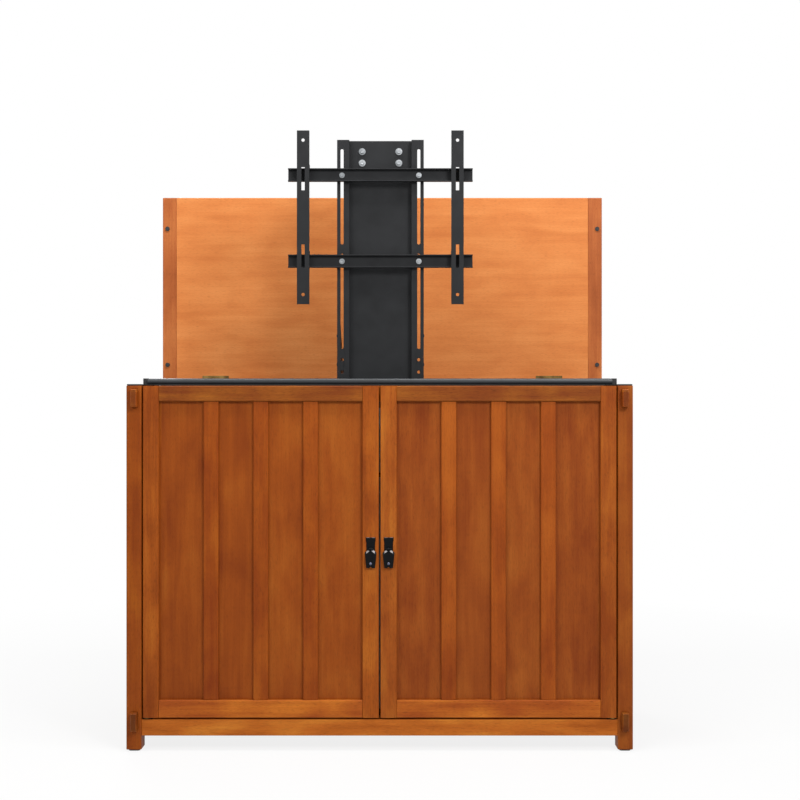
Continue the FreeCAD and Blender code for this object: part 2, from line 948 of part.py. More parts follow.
def guide(width, depth, top, inside_width, inside_depth):
    """The plastic guide in the mouth of a tube: a cap on its end and a skirt inside it."""
    cap = column_block(width + 2 * guide_lip, depth + 2 * guide_lip, top, top + guide_cap)
    cap = eased(cap, column_corner + guide_lip, Z)
    skirt = column_block(width - 2 * column_wall, depth - 2 * column_wall, top - guide_skirt, top)
    opening = column_block(
        inside_width + 2 * guide_gap, inside_depth + 2 * guide_gap, top - guide_skirt, top + guide_cap
    )
    return without(joined([cap, skirt]), [eased(opening, column_corner + guide_gap, Z)])


def glide_ring(width, depth, z0):
    """The plastic ring round the foot of a sliding tube, which runs in the tube outside it."""
    slack = column_slack - guide_gap
    ring = column_block(width + 2 * slack, depth + 2 * slack, z0, z0 + guide_skirt)
    return without(ring, [eased(column_block(width, depth, z0, z0 + guide_skirt), column_corner, Z)])


def raised(shape, stages):
    """A piece drawn with the lift down, moved up with its stage."""
    moved = shape.copy()
    moved.translate(Z * (stages * stage_travel))
    return moved


def build_base():
    plate = block(-base_half_width, base_half_width, base_front, base_back, floor_top, base_top)
    save("base_plate", eased(plate, base_corner, Z))

    half = bearing_half
    bearing_top = base_top + bearing_height
    bearing = block(-half, half, column_y - half, column_y + half, base_top, bearing_top)
    seat_low = base_top + bearing_floor
    seat = rod(journal_radius + screw_play, bearing_height, 0, column_y, seat_low)
    save("screw_bearing", without(bearing, [seat]))
    journal_low = seat_low + screw_seat_gap
    thread_low = bearing_top + screw_seat_gap
    journal = rod(journal_radius, thread_low - journal_low, 0, column_y, journal_low)
    thread = rod(screw_radius, screw_top - thread_low, 0, column_y, thread_low)
    save("lead_screw", joined([journal, thread]))


def build_column():
    save("outer_column", tube(column_width, column_depth, base_top, outer_top))
    save("outer_guide", guide(column_width, column_depth, outer_top, middle_width, middle_depth))
    save("middle_column", raised(tube(middle_width, middle_depth, middle_low, middle_top), 1))
    save("middle_guide", raised(guide(middle_width, middle_depth, middle_top, inner_width, inner_depth), 1))
    save("middle_glide_ring", raised(glide_ring(middle_width, middle_depth, middle_low), 1))
    save("inner_column", raised(tube(inner_width, inner_depth, inner_low, inner_top), 2))
    save("inner_glide_ring", raised(glide_ring(inner_width, inner_depth, inner_low), 2))

    plate = column_block(
        middle_width - 2 * column_wall, middle_depth - 2 * column_wall, middle_low, middle_low + nut_plate
    )
    barrel = rod(nut_barrel_radius, nut_barrel_height, 0, column_y, middle_low + nut_plate)
    bore = rod(screw_radius + screw_play, nut_plate + nut_barrel_height, 0, column_y, middle_low)
    save("drive_nut", raised(without(joined([plate, barrel]), [bore]), 1))


def build_drive():
    y0 = outer_back
    y1 = y0 + gearbox_depth
    half = gearbox_half_width
    gearbox = block(-half, half, y0, y1, base_top, base_top + gearbox_height)
    motor_y = (y0 + y1) / 2
    can_low = base_top + gearbox_height
    parts = [
        eased(gearbox, gearbox_corner, Z),
        rod(motor_radius, motor_height, 0, motor_y, can_low),
        rod(motor_cap_radius, motor_cap_height, 0, motor_y, can_low + motor_height),
    ]
    for step in range(1, gearbox_ribs + 1):
        low = base_top + step * gearbox_height / (gearbox_ribs + 1) - gearbox_rib_height / 2
        rib = block(
            half,
            half + gearbox_rib_proud,
            y0 + gearbox_rib_inset,
            y1 - gearbox_rib_inset,
            low,
            low + gearbox_rib_height,
        )
        parts += both_sides(rib)
    save("gear_motor", joined(parts))

    y2 = y1 + control_gap
    y3 = y2 + control_depth
    case = block(-control_half_width, control_half_width, y2, y3, base_top, base_top + control_height)
    half = inlet_half_width
    inlet_low = base_top + inlet_rise
    inlet = block(-half, half, y3 - inlet_depth, y3, inlet_low, inlet_low + inlet_height)
    socket_low = base_top + socket_rise
    sockets = [
        block(x, x + socket_width, y2, y2 + socket_depth, socket_low, socket_low + socket_height)
        for x in (socket_first, socket_first + socket_pitch)
    ]
    save("control_box", without(eased(case, control_corner, Z), [inlet] + sockets))


# ---- Mast, deck and arms ----
def build_mast():
    half = [
        (mast_half_width, mast_front + mast_lip),
        (mast_half_width, mast_front),
        (mast_web_half - mast_sheet, mast_front),
        (mast_web_half - mast_sheet, mast_web_back - mast_sheet),
    ]
    inside = [
        (mast_half_width - mast_sheet, mast_front + mast_lip),
        (mast_half_width - mast_sheet, mast_front + mast_sheet),
        (mast_web_half, mast_front + mast_sheet),
        (mast_web_half, mast_web_back),
    ]
    front = half + [(-x, y) for x, y in reversed(half)]
    back = [(-x, y) for x, y in inside] + list(reversed(inside))
    sheet = prism([(x, y, deck_top) for x, y in front + back], Z, mast_top - deck_top)
    holes = []
    for step in range(2):
        z = first_hole_z + step * mast_hole_pitch
        hole = rod(mast_hole_radius, mast_sheet, mast_hole_half_spacing, mast_front, z, Y)
        holes += both_sides(hole)
    slots_low = first_hole_z + 2 * mast_hole_pitch - mast_hole_radius
    pitch = (mast_top - slots_low) / mast_slots
    for step in range(mast_slots):
        z = slots_low + step * pitch
        slot = block(
            mast_hole_half_spacing - mast_hole_radius,
            mast_hole_half_spacing + mast_hole_radius,
            mast_front,
            mast_front + mast_sheet,
            z,
            z + pitch - mast_slot_gap,
        )
        holes += both_sides(eased(slot, mast_hole_radius - mast_slot_flat, Y))
    save("mast_plate", without(sheet, holes))

    half = head_half_width
    plate_back = column_y + inner_depth / 2 + head_back_margin
    flange_back = mast_web_back + head_flange
    plate = block(-half, half, mast_web_back, plate_back, raised_top, mast_top)
    flange = block(-half, half, mast_web_back, flange_back, raised_top - head_flange_height, raised_top)
    save("mast_head", joined([eased(plate, head_corner, Z), flange]))


def build_brackets():
    web = prism(
        [
            (bracket_out - bracket_thickness, mast_front + mast_sheet, deck_top),
            (bracket_out - bracket_thickness, bracket_back, deck_top),
            (bracket_out - bracket_thickness, bracket_back, deck_top + bracket_tip),
            (bracket_out - bracket_thickness, mast_web_back + bracket_tip, deck_top + bracket_height),
            (bracket_out - bracket_thickness, mast_front + mast_sheet, deck_top + bracket_height),
        ],
        X,
        bracket_thickness,
    )
    foot = block(
        bracket_out - bracket_thickness - bracket_foot,
        bracket_out,
        mast_web_back,
        bracket_back,
        deck_top,
        deck_top + bracket_thickness,
    )
    save("deck_brackets", *both_sides(joined([web, foot])))


def build_deck():
    board = block(-deck_half, deck_half, deck_front, deck_back, deck_low, deck_top)
    board = planed_front(board, deck_edge, X, deck_front)
    slot = block(-deck_slot_half, deck_slot_half, deck_slot_front, deck_back, deck_low, deck_top)
    slot = slot.makeFillet(deck_slot_corner, front_edges(slot, Z, deck_slot_front))
    save("deck", without(board, [slot]))

    bumpers = []
    for y in (deck_front + bumper_from_corner, deck_back - bumper_from_corner - bumper_length):
        bumper = block(deck_half, deck_half + bumper_proud, y, y + bumper_length, deck_low, deck_top)
        outer = [e for e in bumper.Edges if runs_along(e, Z) and lies_in(e, X, deck_half + bumper_proud)]
        bumpers += both_sides(bumper.makeFillet(bumper_round, outer))
    save("deck_bumpers", *bumpers)


def television_rail(z):
    """A channel across the mast, open to the front."""
    outside = block(
        -vesa_rail_half_length,
        vesa_rail_half_length,
        vesa_rail_front,
        mast_front,
        z - vesa_rail_half_height,
        z + vesa_rail_half_height,
    )
    hollow = block(
        -vesa_rail_half_length,
        vesa_rail_half_length,
        vesa_rail_front,
        mast_front - mast_sheet,
        z - vesa_rail_half_height + mast_sheet,
        z + vesa_rail_half_height - mast_sheet,
    )
    return without(outside, [hollow])


def arm_cheek(x):
    """One side of a television arm, with a hook over each rail."""
    back = vesa_rail_front
    reach = mast_front + hook_play + hook_depth
    outline = [(vesa_front, vesa_z - vesa_arm_half_length), (back, vesa_z - vesa_arm_half_length)]
    for z in (low_rail_z, high_rail_z):
        top = z + vesa_rail_half_height
        outline += [
            (back, top + hook_play),
            (mast_front + hook_play, top + hook_play),
            (mast_front + hook_play, top - hook_drop),
            (reach, top - hook_drop),
            (reach, top + hook_rise),
            (back, top + hook_rise),
        ]
    outline += [(back, vesa_z + vesa_arm_half_length), (vesa_front, vesa_z + vesa_arm_half_length)]
    return prism([(x, y, z) for y, z in outline], X, vesa_sheet)


def television_arm():
    """The right arm: a channel with two cheeks, drilled and slotted for the television's screws."""
    half = vesa_arm_width / 2
    face = block(
        vesa_half_spacing - half,
        vesa_half_spacing + half,
        vesa_front,
        vesa_front + vesa_sheet,
        vesa_z - vesa_arm_half_length,
        vesa_z + vesa_arm_half_length,
    )
    cheeks = [arm_cheek(vesa_half_spacing - half), arm_cheek(vesa_half_spacing + half - vesa_sheet)]
    holes = []
    for side in (-1, 1):
        hole_z = vesa_z + side * vesa_half_spacing
        holes.append(rod(vesa_hole_radius, vesa_sheet, vesa_half_spacing, vesa_front, hole_z, Y))
        slot_z = vesa_z + side * vesa_half_spacing / 2
        slot = block(
            vesa_half_spacing - vesa_hole_radius,
            vesa_half_spacing + vesa_hole_radius,
            vesa_front,
            vesa_front + vesa_sheet,
            slot_z - vesa_slot_half,
            slot_z + vesa_slot_half,
        )
        holes.append(slot)
    return without(joined([face] + cheeks), holes)


def build_television_mount():
    save("vesa_rails", television_rail(low_rail_z), television_rail(high_rail_z))
    save("vesa_arms", *both_sides(television_arm()))


os.makedirs("parts", exist_ok=True)
build_posts()
build_sides()
build_rails()
build_back()
build_floor()
build_doors()
build_lid()
build_base()
build_column()
build_drive()
build_mast()
build_brackets()
build_deck()
build_television_mount()
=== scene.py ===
import math

import bmesh
import bpy
import numpy as np
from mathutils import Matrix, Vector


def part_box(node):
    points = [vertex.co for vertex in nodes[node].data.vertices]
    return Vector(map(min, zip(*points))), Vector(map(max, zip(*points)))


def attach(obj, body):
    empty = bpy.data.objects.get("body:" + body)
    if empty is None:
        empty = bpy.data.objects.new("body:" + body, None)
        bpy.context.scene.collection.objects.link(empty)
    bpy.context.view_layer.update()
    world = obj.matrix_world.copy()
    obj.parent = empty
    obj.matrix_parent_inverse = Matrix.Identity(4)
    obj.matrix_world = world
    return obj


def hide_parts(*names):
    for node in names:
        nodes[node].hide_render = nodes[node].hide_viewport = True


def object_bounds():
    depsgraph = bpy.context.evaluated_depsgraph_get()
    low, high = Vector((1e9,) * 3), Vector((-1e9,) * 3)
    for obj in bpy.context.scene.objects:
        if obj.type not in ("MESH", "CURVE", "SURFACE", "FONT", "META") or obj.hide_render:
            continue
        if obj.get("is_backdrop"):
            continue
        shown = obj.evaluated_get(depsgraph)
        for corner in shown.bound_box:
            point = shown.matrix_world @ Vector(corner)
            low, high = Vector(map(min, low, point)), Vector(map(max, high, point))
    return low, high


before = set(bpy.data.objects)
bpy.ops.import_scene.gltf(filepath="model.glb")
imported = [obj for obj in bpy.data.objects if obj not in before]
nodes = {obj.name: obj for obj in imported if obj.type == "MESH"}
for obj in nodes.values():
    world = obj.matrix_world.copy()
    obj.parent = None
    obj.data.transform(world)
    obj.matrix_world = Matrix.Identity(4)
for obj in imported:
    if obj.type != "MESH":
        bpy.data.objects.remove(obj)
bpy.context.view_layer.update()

scene = bpy.context.scene
scene.view_settings.view_transform = "Standard"


# ---- Camera ----
# A level camera 3.5 m in front of the doors, a little right of the middle and just under
# the height of the closed top, with a short telephoto lens.
camera = bpy.data.objects.new("camera", bpy.data.cameras.new("camera"))
scene.collection.objects.link(camera)
camera.location = (0.051, -3.756, 0.880)
camera.rotation_euler = (math.radians(90), 0, 0)
camera.data.sensor_width = 36.0
camera.data.lens = 62.6
camera.data.clip_end = 200.0
scene.camera = camera


# ---- Studio floor and light ----
# A white studio: a matt floor that keeps the cabinet's soft shadow and runs out to white, and
# four softboxes: a key on the front right, a fill on the front left, one overhead, one behind.
def linear(colour):
    """A hex sRGB colour as linear light: c/12.92 below 0.04045, ((c + 0.055)/1.055)^2.4 above."""
    srgb = np.array([int(colour[i:i + 2], 16) for i in (1, 3, 5)]) / 255
    light = np.where(srgb <= 0.04045, srgb / 12.92, ((srgb + 0.055) / 1.055) ** 2.4)
    return (*light, 1.0)


def add(tree, kind, sockets={}, **settings):
    """Adds one shader node. A socket gets a value, or a link from a node's first output or an output."""
    node = tree.nodes.new("ShaderNode" + kind)
    for name, value in settings.items():
        setattr(node, name, value)
    for key, value in sockets.items():
        if isinstance(value, bpy.types.Node):
            value = value.outputs[0]
        if isinstance(value, bpy.types.NodeSocket):
            tree.links.new(value, node.inputs[key])
        else:
            node.inputs[key].default_value = value
    return node


def seen_background(tree):
    """1 for rays that look at the background: straight, mirrored or through glass."""
    rays = add(tree, "LightPath")
    seen = rays.outputs["Is Camera Ray"]
    for way in ("Is Glossy Ray", "Is Transmission Ray"):
        seen = add(tree, "Math", {0: seen, 1: rays.outputs[way]}, operation="MAXIMUM")
    return seen


world = bpy.data.worlds.new("studio")
scene.world = world
world.use_nodes = True
tree = world.node_tree
tree.nodes.clear()
soft = add(tree, "Background", {"Color": linear("#ffffff"), "Strength": 0.38})
white = add(tree, "Background", {"Color": linear("#ffffff"), "Strength": 1.0})
room = add(tree, "MixShader", {0: seen_background(tree), 1: soft, 2: white})
add(tree, "OutputWorld", {"Surface": room})

floor_mesh = bpy.data.meshes.new("studio_floor")
reach = 60.0
floor_mesh.from_pydata(
    [(-reach, -reach, 0), (reach, -reach, 0), (reach, reach, 0), (-reach, reach, 0)], [], [(0, 1, 2, 3)]
)
floor = bpy.data.objects.new("studio_floor", floor_mesh)
scene.collection.objects.link(floor)
paper = bpy.data.materials.new("white_paper_floor")
paper.use_nodes = True
tree = paper.node_tree
tree.nodes.clear()
matt = add(tree, "BsdfDiffuse", {"Color": linear("#d4d4d3")})
glow = add(tree, "Emission", {"Color": linear("#ffffff"), "Strength": 1.0})
place = add(tree, "TexCoord").outputs["Object"]
distance = add(tree, "VectorMath", {0: place}, operation="LENGTH")
fade = add(tree, "MapRange", {0: distance.outputs["Value"], 1: 0.7, 2: 2.6, 3: 0.84, 4: 1.0})
share = add(tree, "Math", {0: fade, 1: seen_background(tree)}, operation="MULTIPLY")
mixed = add(tree, "MixShader", {0: share, 1: matt, 2: glow})
add(tree, "OutputMaterial", {"Surface": mixed})
floor_mesh.materials.append(paper)
floor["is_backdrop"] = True


def softbox(name, place, aim, width, height, power):
    """An area lamp at a place, turned to face a point, its width level."""
    lamp = bpy.data.lights.new(name, "AREA")
    lamp.shape = "RECTANGLE"
    lamp.size = width
    lamp.size_y = height
    lamp.energy = power
    box = bpy.data.objects.new(name, lamp)
    scene.collection.objects.link(box)
    box.location = place
    towards = np.subtract(aim, place)
    flat = math.hypot(towards[0], towards[1])
    box.rotation_euler = (math.atan2(flat, -towards[2]), 0, math.atan2(-towards[0], towards[1]))


softbox("key_softbox", (1.75, -3.0, 2.7), (0, 0, 0.9), 0.9, 0.9, 88)
softbox("fill_softbox", (-1.9, -3.0, 2.6), (0, 0, 0.9), 1.2, 1.2, 34)
softbox("overhead_softbox", (0.0, -0.75, 3.0), (0.0, -0.3, 0.9), 2.6, 0.5, 64)
softbox("rear_softbox", (-1.4, 3.0, 2.6), (0, 0, 0.7), 1.4, 1.4, 52)


# ---- Posts ----
# Four posts of solid hardwood. The stain is wiped on by hand, so it stays deep in the
# pores and pale on the hard grain, and satin lacquer over it rounds the arrises a little.
def finish_for(name):
    """A new material with an empty node tree, and that tree."""
    material = bpy.data.materials.new(name)
    material.use_nodes = True
    material.node_tree.nodes.clear()
    return material, material.node_tree


def stained_wood(
    name, grain, tones, seed, boards=None, end_shade=0.62, contrast=1.0, painted_height_shade=(0.93, 1.0), rear_shade=1.0
):
    """Stained hardwood under satin lacquer. Value noises stretched along the grain axis give
    broad figure (30 mm across), fibre (4 mm) and pores (0.7 mm), and a hardly stretched one the
    stain's blotches (70 mm). The weighted sum of figure, fibre, blotches and the board's own tone
    picks a colour between the three tones, and pores and end grain darken it. boards is (axis,
    first, pitch): each step along that axis is a board with a tone of its own. The pair of height
    shades is how much of the colour is left at 0.2 m and at 0.8 m from the floor: painted shade,
    for light that falls unevenly with height. rear_shade is how much is left on a face towards the
    back."""
    material, tree = finish_for(name)
    coordinates = add(tree, "TexCoord")
    place = coordinates.outputs["Object"]
    board_tone = 0.5
    if boards:
        axis, first, pitch = boards
        along = add(tree, "SeparateXYZ", {0: place}).outputs["XYZ".index(axis)]
        from_first = add(tree, "Math", {0: along, 1: first}, operation="SUBTRACT")
        count = add(tree, "Math", {0: from_first, 1: pitch}, operation="DIVIDE")
        board = add(tree, "Math", {0: count}, operation="FLOOR")
        turn = add(tree, "Math", {0: board, 1: seed * 0.37 + 0.5}, operation="ADD")
        chance = add(tree, "TexWhiteNoise", {"W": turn}, noise_dimensions="1D")
        board_tone = chance.outputs["Value"]
        place = add(tree, "VectorMath", {0: place, 1: chance.outputs["Color"]}, operation="ADD")

    def noise(width_mm, stretch, detail, distortion=0.0):
        scale = [1.0, 1.0, 1.0]
        scale["XYZ".index(grain)] = 1.0 / stretch
        start = (seed * 3.1, seed * 1.7, seed * 2.3)
        stretched = add(tree, "Mapping", {"Vector": place, "Location": start, "Scale": scale})
        return add(
            tree,
            "TexNoise",
            {"Vector": stretched, "Scale": 1000 / width_mm, "Detail": detail, "Distortion": distortion},
        )

    # The fibre is drawn 4 mm wide, coarser than the real 1 mm lines, so that it shows.
    figure = noise(30, 9, 2.0, 0.6)
    fibre = noise(4, 45, 2.0)
    blotch = noise(70, 2.0, 2.0, 0.3)
    pores = noise(0.7, 16, 1.0)
    weighted = ((figure, 0.8), (fibre, 0.38), (blotch, 1.05), (board_tone, 0.25))
    total = 0.5
    for part, weight in weighted:
        total = add(
            tree, "Math", {0: part, 1: weight * contrast, 2: total}, operation="MULTIPLY_ADD"
        )
    mean = 0.5 + 0.5 * contrast * sum(weight for part, weight in weighted)
    value = add(tree, "Math", {0: total, 1: mean - 0.5}, operation="SUBTRACT")
    ramp = add(tree, "ValToRGB", {0: value})
    stops = ramp.color_ramp.elements
    stops[0].position, stops[0].color = 0.12, linear(tones[0])
    stops[1].position, stops[1].color = 0.88, linear(tones[2])
    stops.new(0.5).color = linear(tones[1])

    pore_shade = add(tree, "MapRange", {0: pores, 1: 0.30, 2: 0.46, 3: 1 - 0.3 * contrast, 4: 1.0})
    grain_way = [0.0, 0.0, 0.0]
    grain_way["XYZ".index(grain)] = 1.0
    normal = coordinates.outputs["Normal"]
    facing = add(
        tree, "VectorMath", {0: normal, 1: grain_way}, operation="DOT_PRODUCT"
    ).outputs["Value"]
    end_on = add(tree, "Math", {0: facing}, operation="ABSOLUTE")
    end_dark = add(tree, "MapRange", {0: end_on, 1: 0.75, 2: 0.95, 3: 1.0, 4: end_shade})
    # Painted shade: the colour is scaled by height to match how the light falls, not by the stain.
    height = add(tree, "SeparateXYZ", {0: coordinates.outputs["Object"]}).outputs[2]
    painted_shade_by_height = add(tree, "MapRange", {0: height, 1: 0.2, 2: 0.8, 3: painted_height_shade[0], 4: painted_height_shade[1]})
    rearward = add(tree, "SeparateXYZ", {0: normal}).outputs["Y"]
    rear = add(tree, "MapRange", {0: rearward, 1: 0.4, 2: 0.7, 3: 1.0, 4: rear_shade})
    shade = add(tree, "Math", {0: pore_shade, 1: end_dark}, operation="MULTIPLY")
    for part in (painted_shade_by_height, rear):
        shade = add(tree, "Math", {0: shade, 1: part}, operation="MULTIPLY")
    colour = add(
        tree, "Mix", {0: 1.0, 6: ramp, 7: shade}, data_type="RGBA", blend_type="MULTIPLY"
    ).outputs[2]

    gloss = add(tree, "MapRange", {0: fibre, 1: 0.3, 2: 0.7, 3: 0.60, 4: 0.47})
    relief = add(tree, "Math", {0: pore_shade, 1: 0.6, 2: fibre}, operation="MULTIPLY_ADD")
    bump = add(tree, "Bump", {"Height": relief, "Strength": 0.25, "Distance": 0.0003})
    surface = add(
        tree,
        "BsdfPrincipled",
        {
            "Base Color": colour,
            "Roughness": gloss,
            "IOR": 1.45,
            "Specular IOR Level": 0.16,
            "Normal": bump,
        },
    )
    add(tree, "OutputMaterial", {"Surface": surface})
    return material


def dress(names, material, arris=0.0012):
    """Gives CAD nodes a finish, and rounds their sharp edges: weld the triangles, then bevel."""
    for name in names:
        node = nodes[name]
        node.data.materials.clear()
        node.data.materials.append(material)
        weld = node.modifiers.new("weld", "WELD")
        weld.merge_threshold = 0.00001
        if arris:
            bevel = node.modifiers.new("arris", "BEVEL")
            bevel.width = arris
            bevel.segments = 2
            bevel.limit_method = "ANGLE"
            bevel.angle_limit = math.radians(30)


# Like all the wood here, the posts get the default darkening towards the floor: painted shade.
left_post_wood = stained_wood("stained_left_post", "Z", ("#6f2c03", "#863e08", "#99510e"), 1.3)
right_post_wood = stained_wood("stained_right_post", "Z", ("#702e05", "#85400d", "#975216"), 2.1)
dress(["front_left_post", "rear_left_post"], left_post_wood)
dress(["front_right_post", "rear_right_post"], right_post_wood)


# ---- Side rails, panels and slats ----
# Each side has two rails whose tenons run through the front post, a veneered panel in their
# grooves and three slats glued on it. Tenon ends take more stain than the face grain. The lower
# rails and their tenons are darkened by height as painted shade, as the light falls less there.
side_rail_wood = stained_wood(
    "stained_side_rail", "Y", ("#7a3306", "#904710", "#a45c1a"), 3.7, boards=("Z", -0.3, 0.6),
    end_shade=0.60, painted_height_shade=(0.62, 1.0),
)
side_panel_veneer = stained_wood("side_panel_veneer", "Z", ("#723006", "#86400c", "#975113"), 4.9)
side_slat_wood = stained_wood(
    "stained_side_slat", "Z", ("#783306", "#8c450d", "#9e5616"), 5.3, boards=("Y", -0.0605, 0.112)
)
dress(["left_side_rails", "right_side_rails"], side_rail_wood)
dress(["side_panels"], side_panel_veneer, arris=0)
dress(["side_slats"], side_slat_wood)


# ---- Rails between the posts ----
# The front bottom rail was cut from a paler board with straight grain, so it takes the stain
# lighter and more orange than the posts. The others are hidden by the doors and the lid.
bottom_rail_wood = stained_wood(
    "stained_bottom_rail", "X", ("#954a0d", "#ac5c19", "#bd7225"), 6.1, contrast=1.1
)
inner_rail_wood = stained_wood("stained_inner_rail", "X", ("#793306", "#8e4610", "#a15a19"), 7.7)
dress(["front_bottom_rail"], bottom_rail_wood)
dress(["front_top_rail", "rear_rails"], inner_rail_wood)


# ---- Back panel and floor board ----
# Stained plywood, whose peeled veneer has a fainter figure than the solid wood. The back has a
# slot for the cables.
plywood_back = stained_wood("plywood_back", "Z", ("#83451e", "#995a2e", "#ac7041"), 8.3, contrast=0.55)
plywood_floor = stained_wood("plywood_floor", "X", ("#83451e", "#98592e", "#aa6e3f"), 9.9, contrast=0.6)
dress(["back_panel"], plywood_back, arris=0)
dress(["floor_board"], plywood_floor, arris=0)


# ---- Post pads and foot glides ----
# Moulded rubber pads keep the closed lid off the posts, and nylon glides are pinned under the
# feet. Both are black with a fine moulded grain, 0.6 mm on the rubber and 0.4 mm on the nylon.
def moulded(name, colour, grit_mm, roughness, bump_strength=0.2):
    """Rubber or plastic from a mould: one colour, dust-pale in the noise's high places."""
    material, tree = finish_for(name)
    place = add(tree, "TexCoord").outputs["Object"]
    grit = add(tree, "TexNoise", {"Vector": place, "Scale": 1000 / grit_mm, "Detail": 2.0})
    wear = add(tree, "TexNoise", {"Vector": place, "Scale": 28.0, "Detail": 4.0})
    dust = add(tree, "MapRange", {0: wear, 1: 0.45, 2: 0.75, 3: 1.0, 4: 1.7})
    tone = add(
        tree, "Mix", {0: 1.0, 6: linear(colour), 7: dust}, data_type="RGBA", blend_type="MULTIPLY"
    ).outputs[2]
    spread = add(tree, "MapRange", {0: wear, 1: 0.3, 2: 0.7, 3: roughness - 0.06, 4: roughness + 0.08})
    bump = add(tree, "Bump", {"Height": grit, "Strength": bump_strength, "Distance": 0.0002})
    surface = add(
        tree, "BsdfPrincipled", {"Base Color": tone, "Roughness": spread, "IOR": 1.5, "Normal": bump}
    )
    add(tree, "OutputMaterial", {"Surface": surface})
    return material


def piece(name, grids, material, body, stands_for=(), sharp=30):
    """One closed mesh out of grids of points, in millimetres in the row frame. A grid is
    (points, wraps_down, wraps_across, capped): quads join points[i, j] to its neighbours at i + 1
    and j + 1, a grid that wraps joins its last row or column to its first, and a capped one gets a
    face over its first and last rows. Doubles are merged and the normals turned outwards, and
    edges that turn by more than sharp degrees stay sharp."""
    corners, faces, first = [], [], 0
    for points, wraps_down, wraps_across, capped in grids:
        rows, columns = points.shape[:2]
        index = first + np.arange(rows * columns).reshape(rows, columns)
        here, below = (index, np.roll(index, -1, 0)) if wraps_down else (index[:-1], index[1:])
        quads = np.stack([here, np.roll(here, -1, 1), np.roll(below, -1, 1), below], -1)
        if not wraps_across:
            quads = quads[:, :-1]
        faces += quads.reshape(-1, 4).tolist()
        if capped:
            faces += [index[0].tolist(), index[-1].tolist()]
        corners.append(points.reshape(-1, 3))
        first += rows * columns
    shell = bmesh.new()
    mesh = bpy.data.meshes.new(name)
    mesh.from_pydata((np.concatenate(corners) / 1000).tolist(), [], faces)
    shell.from_mesh(mesh)
    bmesh.ops.remove_doubles(shell, verts=shell.verts, dist=0.000001)
    bmesh.ops.recalc_face_normals(shell, faces=shell.faces)
    shell.to_mesh(mesh)
    shell.free()
    mesh.polygons.foreach_set("use_smooth", np.ones(len(mesh.polygons), bool))
    mesh.set_sharp_from_angle(angle=math.radians(sharp))
    mesh.materials.append(material)
    made = bpy.data.objects.new(name, mesh)
    scene.collection.objects.link(made)
    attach(made, body)
    if stands_for:
        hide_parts(*stands_for)


def rounded_outline(half_x, half_y, radius, steps=6):
    """A rectangle with quarter-circle corners: corner centre + radius (cos a, sin a)."""
    quarter = np.linspace(0, math.pi / 2, steps)
    angles = np.concatenate([quarter + k * math.pi / 2 for k in range(4)])
    centre_x = np.repeat([1, -1, -1, 1], steps) * (half_x - radius)
    centre_y = np.repeat([1, 1, -1, -1], steps) * (half_y - radius)
    return np.stack([centre_x + radius * np.cos(angles), centre_y + radius * np.sin(angles)], -1)


def rounded_block(low, high, corner, arris):
    """An upright block: rounded outlines stacked from low to high, each inset from the widest by
    arris (1 - sin a) at a height of arris (1 - cos a) from its end."""
    low, high = np.array(low, float), np.array(high, float)
    middle, half = (low + high) / 2, (high - low) / 2
    turn = np.linspace(0, math.pi / 2, 4)
    inset = arris * (1 - np.sin(turn))
    rise = arris * (1 - np.cos(turn))
    levels = np.concatenate([low[2] + rise, high[2] - rise[::-1]])
    rows = []
    for z, less in zip(levels, np.concatenate([inset, inset[::-1]])):
        outline = rounded_outline(half[0] - less, half[1] - less, max(corner - less, 0.2))
        rows.append(np.column_stack([outline + middle[:2], np.full(len(outline), z)]))
    return np.array(rows), False, True, True


def node_corners(name):
    """A node's lowest and highest corners in millimetres."""
    return tuple(np.array(c) * 1000 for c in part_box(name))


def at_corners(low, high, size_x, size_y):
    """The four boxes of a size at the corners of a wider box, as (low, high) pairs."""
    low, high = np.array(low), np.array(high)
    spots = []
    for x in (low[0], high[0] - size_x):
        for y in (low[1], high[1] - size_y):
            spots.append((np.array([x, y, low[2]]), np.array([x + size_x, y + size_y, high[2]])))
    return spots


rubber = moulded("moulded_rubber", "#161617", 0.6, 0.72)
nylon = moulded("moulded_nylon", "#1c1d1f", 0.4, 0.5)
pad_spots = at_corners(*node_corners("post_pads"), size_x=36.0, size_y=48.0)
piece(
    "rubber_post_pads",
    [rounded_block(low, high, 4.0, 1.2) for low, high in pad_spots],
    rubber, "cabinet", ["post_pads"],
)
glide_spots = at_corners(*node_corners("foot_glides"), size_x=28.0, size_y=40.0)
piece(
    "nylon_foot_glides",
    [rounded_block(low, high, 6.0, 1.5) for low, high in glide_spots],
    nylon, "cabinet", ["foot_glides"],
)


def slot_edging(half_x, half_z, middle_z, near, far):
    """A moulded rim round a slot in an upright panel: a closed profile of (inset from the slot's
    edge, y) carried round rounded outlines of the slot in x and z."""
    profile = [(-4, near), (-3.4, near - 1.6), (0, near - 1.8), (1.6, near - 1.4), (2, near - 0.8)]
    profile += [(2, far + 0.8), (1.6, far + 1.4), (0, far + 1.8), (-3.4, far + 1.6), (-4, far)]
    rows = []
    for inset, y in profile:
        outline = rounded_outline(half_x - inset, half_z - inset, 8.0 - inset)
        rows.append(np.column_stack([outline[:, 0], np.full(len(outline), y), outline[:, 1] + middle_z]))
    return np.array(rows), True, True, False


rim = slot_edging(half_x=60, half_z=25, middle_z=174, near=243, far=249)
piece("cable_slot_edging", [rim], nylon, "cabinet")
